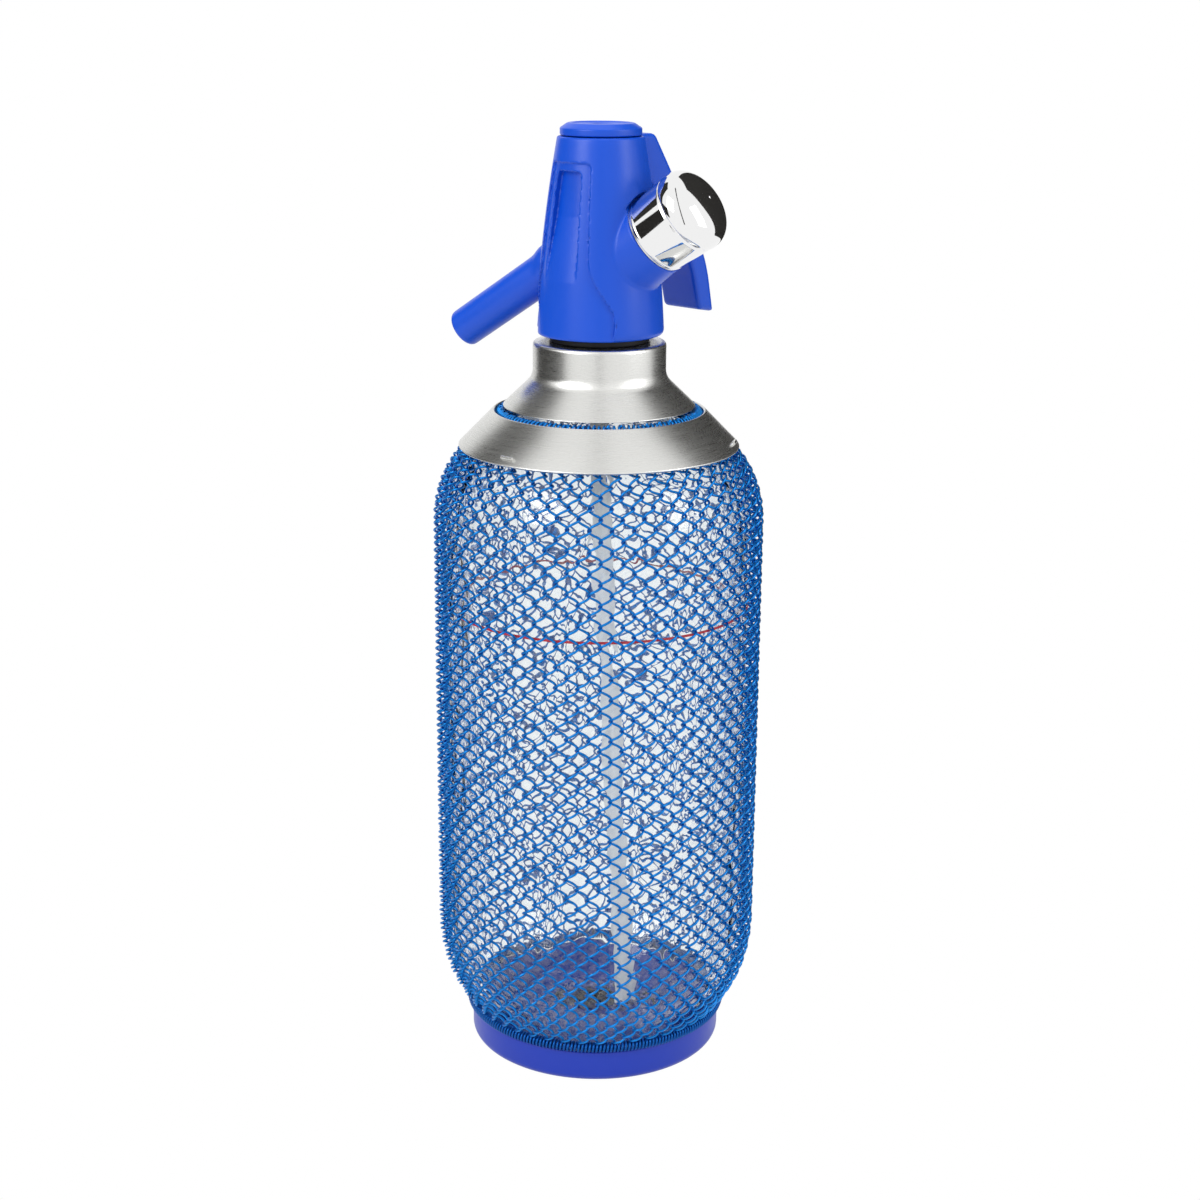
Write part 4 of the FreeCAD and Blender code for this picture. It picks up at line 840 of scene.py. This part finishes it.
def finish_inner():
    """Give each CAD node that is still shown the finish of its material slot."""
    finishes = {
        "steel_wire": polished_metal("drawn_steel", tone("steel"), 0.25),
        "brass": polished_metal("turned_brass", tone("brass"), 0.25),
        "white_nylon": moulded_plastic("natural_nylon", tone("nylon"), 0.45),
        "tube_plastic": moulded_plastic("milky_tube", tone("tube"), 0.4),
        "black_rubber": soft_rubber("black_rubber", tone("rubber")),
    }
    for entry in FRAME["record"]["subparts"]:
        finish = finishes.get(entry["material_slot"])
        if finish is None:
            continue
        mesh = FRAME["nodes"][entry["node"]].data
        mesh.materials.clear()
        mesh.materials.append(finish)


# Stage

def look_from(place, forward, roll):
    """A camera's matrix at a place, looking along forward, turned by roll."""
    forward = Vector(forward).normalized()
    right = forward.cross(Vector((0, 0, 1))).normalized()
    up = right.cross(forward)
    right, up = right * math.cos(roll) + up * math.sin(roll), up * math.cos(roll) - right * math.sin(roll)
    matrix = Matrix((right, up, -forward)).transposed().to_4x4()
    matrix.translation = place
    return matrix


def make_camera():
    """The camera of the photograph: 16 degrees down, from between the spout and the port."""
    camera = bpy.data.cameras.new("photo_camera")
    camera.lens, camera.sensor_width, camera.shift_x = 62.28, 36.0, 0.0019
    holder = bpy.data.objects.new("photo_camera", camera)
    bpy.context.scene.collection.objects.link(holder)
    drop = 0.282
    forward = (-math.sin(VIEW_TURN) * math.cos(drop), math.cos(VIEW_TURN) * math.cos(drop), -math.sin(drop))
    holder.matrix_world = look_from(Vector((0.2925, -0.5998, 0.3494)), forward, 0.0068)
    bpy.context.scene.camera = holder


def stage_plane(name, centre, across, up, material):
    """A flat card round a centre, with half-sizes along two vectors."""
    centre, across, up = (np.array(v, float) for v in (centre, across, up))
    points = np.stack([centre - across - up, centre + across - up, centre + across + up, centre - across + up])
    mesh = bpy.data.meshes.new(name)
    mesh.from_pydata(points.tolist(), [], [(0, 1, 2, 3)])
    mesh.materials.append(material)
    card = bpy.data.objects.new(name, mesh)
    bpy.context.scene.collection.objects.link(card)
    return card


def seen_white(material):
    """1 for a ray from the camera, through glass or off a mirror, which sees plain white, and 0 for others."""
    path = add(material, "ShaderNodeLightPath")
    seen = add(material, "ShaderNodeMath", {
        0: path.outputs["Is Camera Ray"], 1: path.outputs["Is Transmission Ray"]}, operation="MAXIMUM")
    both = add(material, "ShaderNodeMath", {
        0: seen.outputs["Value"], 1: path.outputs["Is Glossy Ray"]}, operation="MAXIMUM")
    return both.outputs["Value"]


def white_floor():
    """The floor's paper: pale and dull for light, plain white to the eye."""
    material, shader = new_material("pale_floor", linear("#ECECEC"), 0.8)
    glow = add(material, "ShaderNodeEmission", {"Color": (1, 1, 1, 1), "Strength": 1.0})
    mix = add(material, "ShaderNodeMixShader", {
        "Fac": seen_white(material), 1: shader.outputs["BSDF"], 2: glow.outputs["Emission"]})
    output = material.node_tree.nodes["Material Output"]
    material.node_tree.links.new(mix.outputs["Shader"], output.inputs["Surface"])
    return material


def make_world():
    """The room: soft bluish white for light, plain white to the eye."""
    world = bpy.data.worlds.new("white_room")
    bpy.context.scene.world = world
    world.use_nodes = True
    ground = world.node_tree.nodes["Background"]
    ground.inputs["Color"].default_value = (*linear("#F4F5F8"), 1)
    ground.inputs["Strength"].default_value = 0.75
    white = add(world, "ShaderNodeBackground", {"Color": (1, 1, 1, 1), "Strength": 1.0})
    mix = add(world, "ShaderNodeMixShader", {
        "Fac": seen_white(world), 1: ground.outputs["Background"], 2: white.outputs["Background"]})
    world.node_tree.links.new(mix.outputs["Shader"], world.node_tree.nodes["World Output"].inputs["Surface"])


def soft_light(name, place, width, height, power):
    """A lamp of a width and height in metres and a power in watts, aimed at the bottle's middle."""
    light = bpy.data.lights.new(name, "AREA")
    light.shape, light.size, light.size_y, light.energy = "RECTANGLE", width, height, power
    lamp = bpy.data.objects.new(name, light)
    bpy.context.scene.collection.objects.link(lamp)
    place = Vector(place)
    aim = (Vector((0, 0, 0.2)) - place).to_track_quat("-Z", "Y")
    lamp.matrix_world = Matrix.Translation(place) @ aim.to_matrix().to_4x4()
    return lamp


def round_camera(across, height, near):
    """A point given by its distance right of the view's middle line, its height and how far it is towards
    the camera from the bottle's axis."""
    right = np.array([math.cos(VIEW_TURN), math.sin(VIEW_TURN), 0])
    back = np.array([math.sin(VIEW_TURN), -math.cos(VIEW_TURN), 0])
    return right * across + back * near + np.array([0, 0, height])


def make_stage():
    """Floor, room, lamps, dark cards for the metal's reflections, and the camera."""
    make_world()
    stage_plane("floor", (0, 0, 0), (4, 0, 0), (0, 4, 0), white_floor())
    soft_light("key", round_camera(-0.9, 0.9, 0.8), 0.7, 0.9, 8)
    soft_light("fill", round_camera(1.1, 0.7, 0.5), 0.5, 0.9, 4)
    soft_light("top", round_camera(0.0, 1.3, -0.1), 0.8, 0.8, 5).visible_glossy = False
    dark, _ = new_material("dark_card", linear("#1A1815"), 0.9)
    right, near = round_camera(1, 0, 0), round_camera(0, 0, 1)
    # Each card's name, centre and half-sizes across and up, in metres.
    cards = (
        ("card_before_camera", round_camera(0.0, 0.6, 0.9), right * 0.035, (0, 0, 0.6)),
        ("card_overhead", round_camera(0.0, 1.3, 0.5), right * 0.035, near * 0.4 + np.array((0, 0, -0.1))),
        ("card_left", round_camera(-0.77, 0.86, -0.335), near * 0.305 - right * 0.13, (0, 0, 0.85)),
        ("card_right", round_camera(0.56, 0.86, -0.515), near * 0.355 + right * 0.33, (0, 0, 0.85)),
        ("card_for_cap", round_camera(-0.793, 0.26, 0.2), near * 0.2275 + right * 0.057, (0, 0, 0.2)))
    for name, centre, across, up in cards:
        card = stage_plane(name, centre, across, up, dark)
        card.visible_camera = card.visible_transmission = card.visible_diffuse = card.visible_shadow = False
    make_camera()
    bpy.context.scene.view_settings.view_transform = "Standard"


# Operators and panel

class SIPHON_OT_bottle(bpy.types.Operator):
    """Make the glass bottle and its fill line"""
    bl_idname = "siphon.bottle"
    bl_label = "Bottle"

    def execute(self, context):
        make_bottle()
        return {"FINISHED"}


class SIPHON_OT_sleeve(bpy.types.Operator):
    """Make the linked wire coils of the sleeve"""
    bl_idname = "siphon.sleeve"
    bl_label = "Sleeve"

    def execute(self, context):
        make_sleeve()
        return {"FINISHED"}


class SIPHON_OT_garter(bpy.types.Operator):
    """Make the garter spring round the foot"""
    bl_idname = "siphon.garter"
    bl_label = "Garter spring"

    def execute(self, context):
        make_garter()
        return {"FINISHED"}


class SIPHON_OT_base(bpy.types.Operator):
    """Make the base cup"""
    bl_idname = "siphon.base"
    bl_label = "Base cup"

    def execute(self, context):
        make_base()
        return {"FINISHED"}


class SIPHON_OT_shoulder(bpy.types.Operator):
    """Make the shoulder band and the collar"""
    bl_idname = "siphon.shoulder"
    bl_label = "Shoulder"

    def execute(self, context):
        make_shoulder()
        return {"FINISHED"}


class SIPHON_OT_gasket(bpy.types.Operator):
    """Make the neck gasket"""
    bl_idname = "siphon.gasket"
    bl_label = "Gasket"

    def execute(self, context):
        make_gasket()
        return {"FINISHED"}


class SIPHON_OT_head(bpy.types.Operator):
    """Make the moulded head"""
    bl_idname = "siphon.head"
    bl_label = "Head"

    def execute(self, context):
        make_head()
        return {"FINISHED"}


class SIPHON_OT_lid(bpy.types.Operator):
    """Make the head's lid"""
    bl_idname = "siphon.lid"
    bl_label = "Lid"

    def execute(self, context):
        make_lid()
        return {"FINISHED"}


class SIPHON_OT_spout(bpy.types.Operator):
    """Make the spout"""
    bl_idname = "siphon.spout"
    bl_label = "Spout"

    def execute(self, context):
        make_spout()
        return {"FINISHED"}


class SIPHON_OT_cap(bpy.types.Operator):
    """Make the charging cap"""
    bl_idname = "siphon.cap"
    bl_label = "Cap"

    def execute(self, context):
        make_cap()
        return {"FINISHED"}


class SIPHON_OT_lever(bpy.types.Operator):
    """Make the lever"""
    bl_idname = "siphon.lever"
    bl_label = "Lever"

    def execute(self, context):
        make_lever()
        return {"FINISHED"}


class SIPHON_OT_inner(bpy.types.Operator):
    """Finish the CAD parts that stay in view"""
    bl_idname = "siphon.inner"
    bl_label = "Inner parts"

    def execute(self, context):
        finish_inner()
        return {"FINISHED"}


class SIPHON_OT_stage(bpy.types.Operator):
    """Make the floor, lamps, cards and camera"""
    bl_idname = "siphon.stage"
    bl_label = "Stage"

    def execute(self, context):
        make_stage()
        return {"FINISHED"}


OPERATORS = (
    SIPHON_OT_bottle, SIPHON_OT_sleeve, SIPHON_OT_garter, SIPHON_OT_base, SIPHON_OT_shoulder,
    SIPHON_OT_gasket, SIPHON_OT_head, SIPHON_OT_lid, SIPHON_OT_spout, SIPHON_OT_cap,
    SIPHON_OT_lever, SIPHON_OT_inner, SIPHON_OT_stage,
)


class SIPHON_PT_panel(bpy.types.Panel):
    """Buttons for the siphon's pieces, its sizes and its colours."""
    bl_label = "Soda siphon"
    bl_space_type = "VIEW_3D"
    bl_region_type = "UI"
    bl_category = "Siphon"

    def draw(self, context):
        for kind in OPERATORS:
            self.layout.operator(kind.bl_idname)
        for group in (context.scene.siphon_sizes, context.scene.siphon_colours):
            for name in group.__annotations__:
                self.layout.prop(group, name)


CLASSES = (SiphonSizes, SiphonColours, *OPERATORS, SIPHON_PT_panel)


def register():
    """Register the classes and hang the sizes and colours on the scene."""
    for kind in CLASSES:
        bpy.utils.register_class(kind)
    bpy.types.Scene.siphon_sizes = PointerProperty(type=SiphonSizes)
    bpy.types.Scene.siphon_colours = PointerProperty(type=SiphonColours)


def unregister():
    """Take them off again in reverse order."""
    del bpy.types.Scene.siphon_colours
    del bpy.types.Scene.siphon_sizes
    for kind in reversed(CLASSES):
        bpy.utils.unregister_class(kind)


def main():
    """Register the classes and make every piece in order."""
    register()
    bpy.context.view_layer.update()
    for kind in OPERATORS:
        getattr(bpy.ops.siphon, kind.bl_idname.split(".")[1])()


if __name__ == "__main__":
    main()
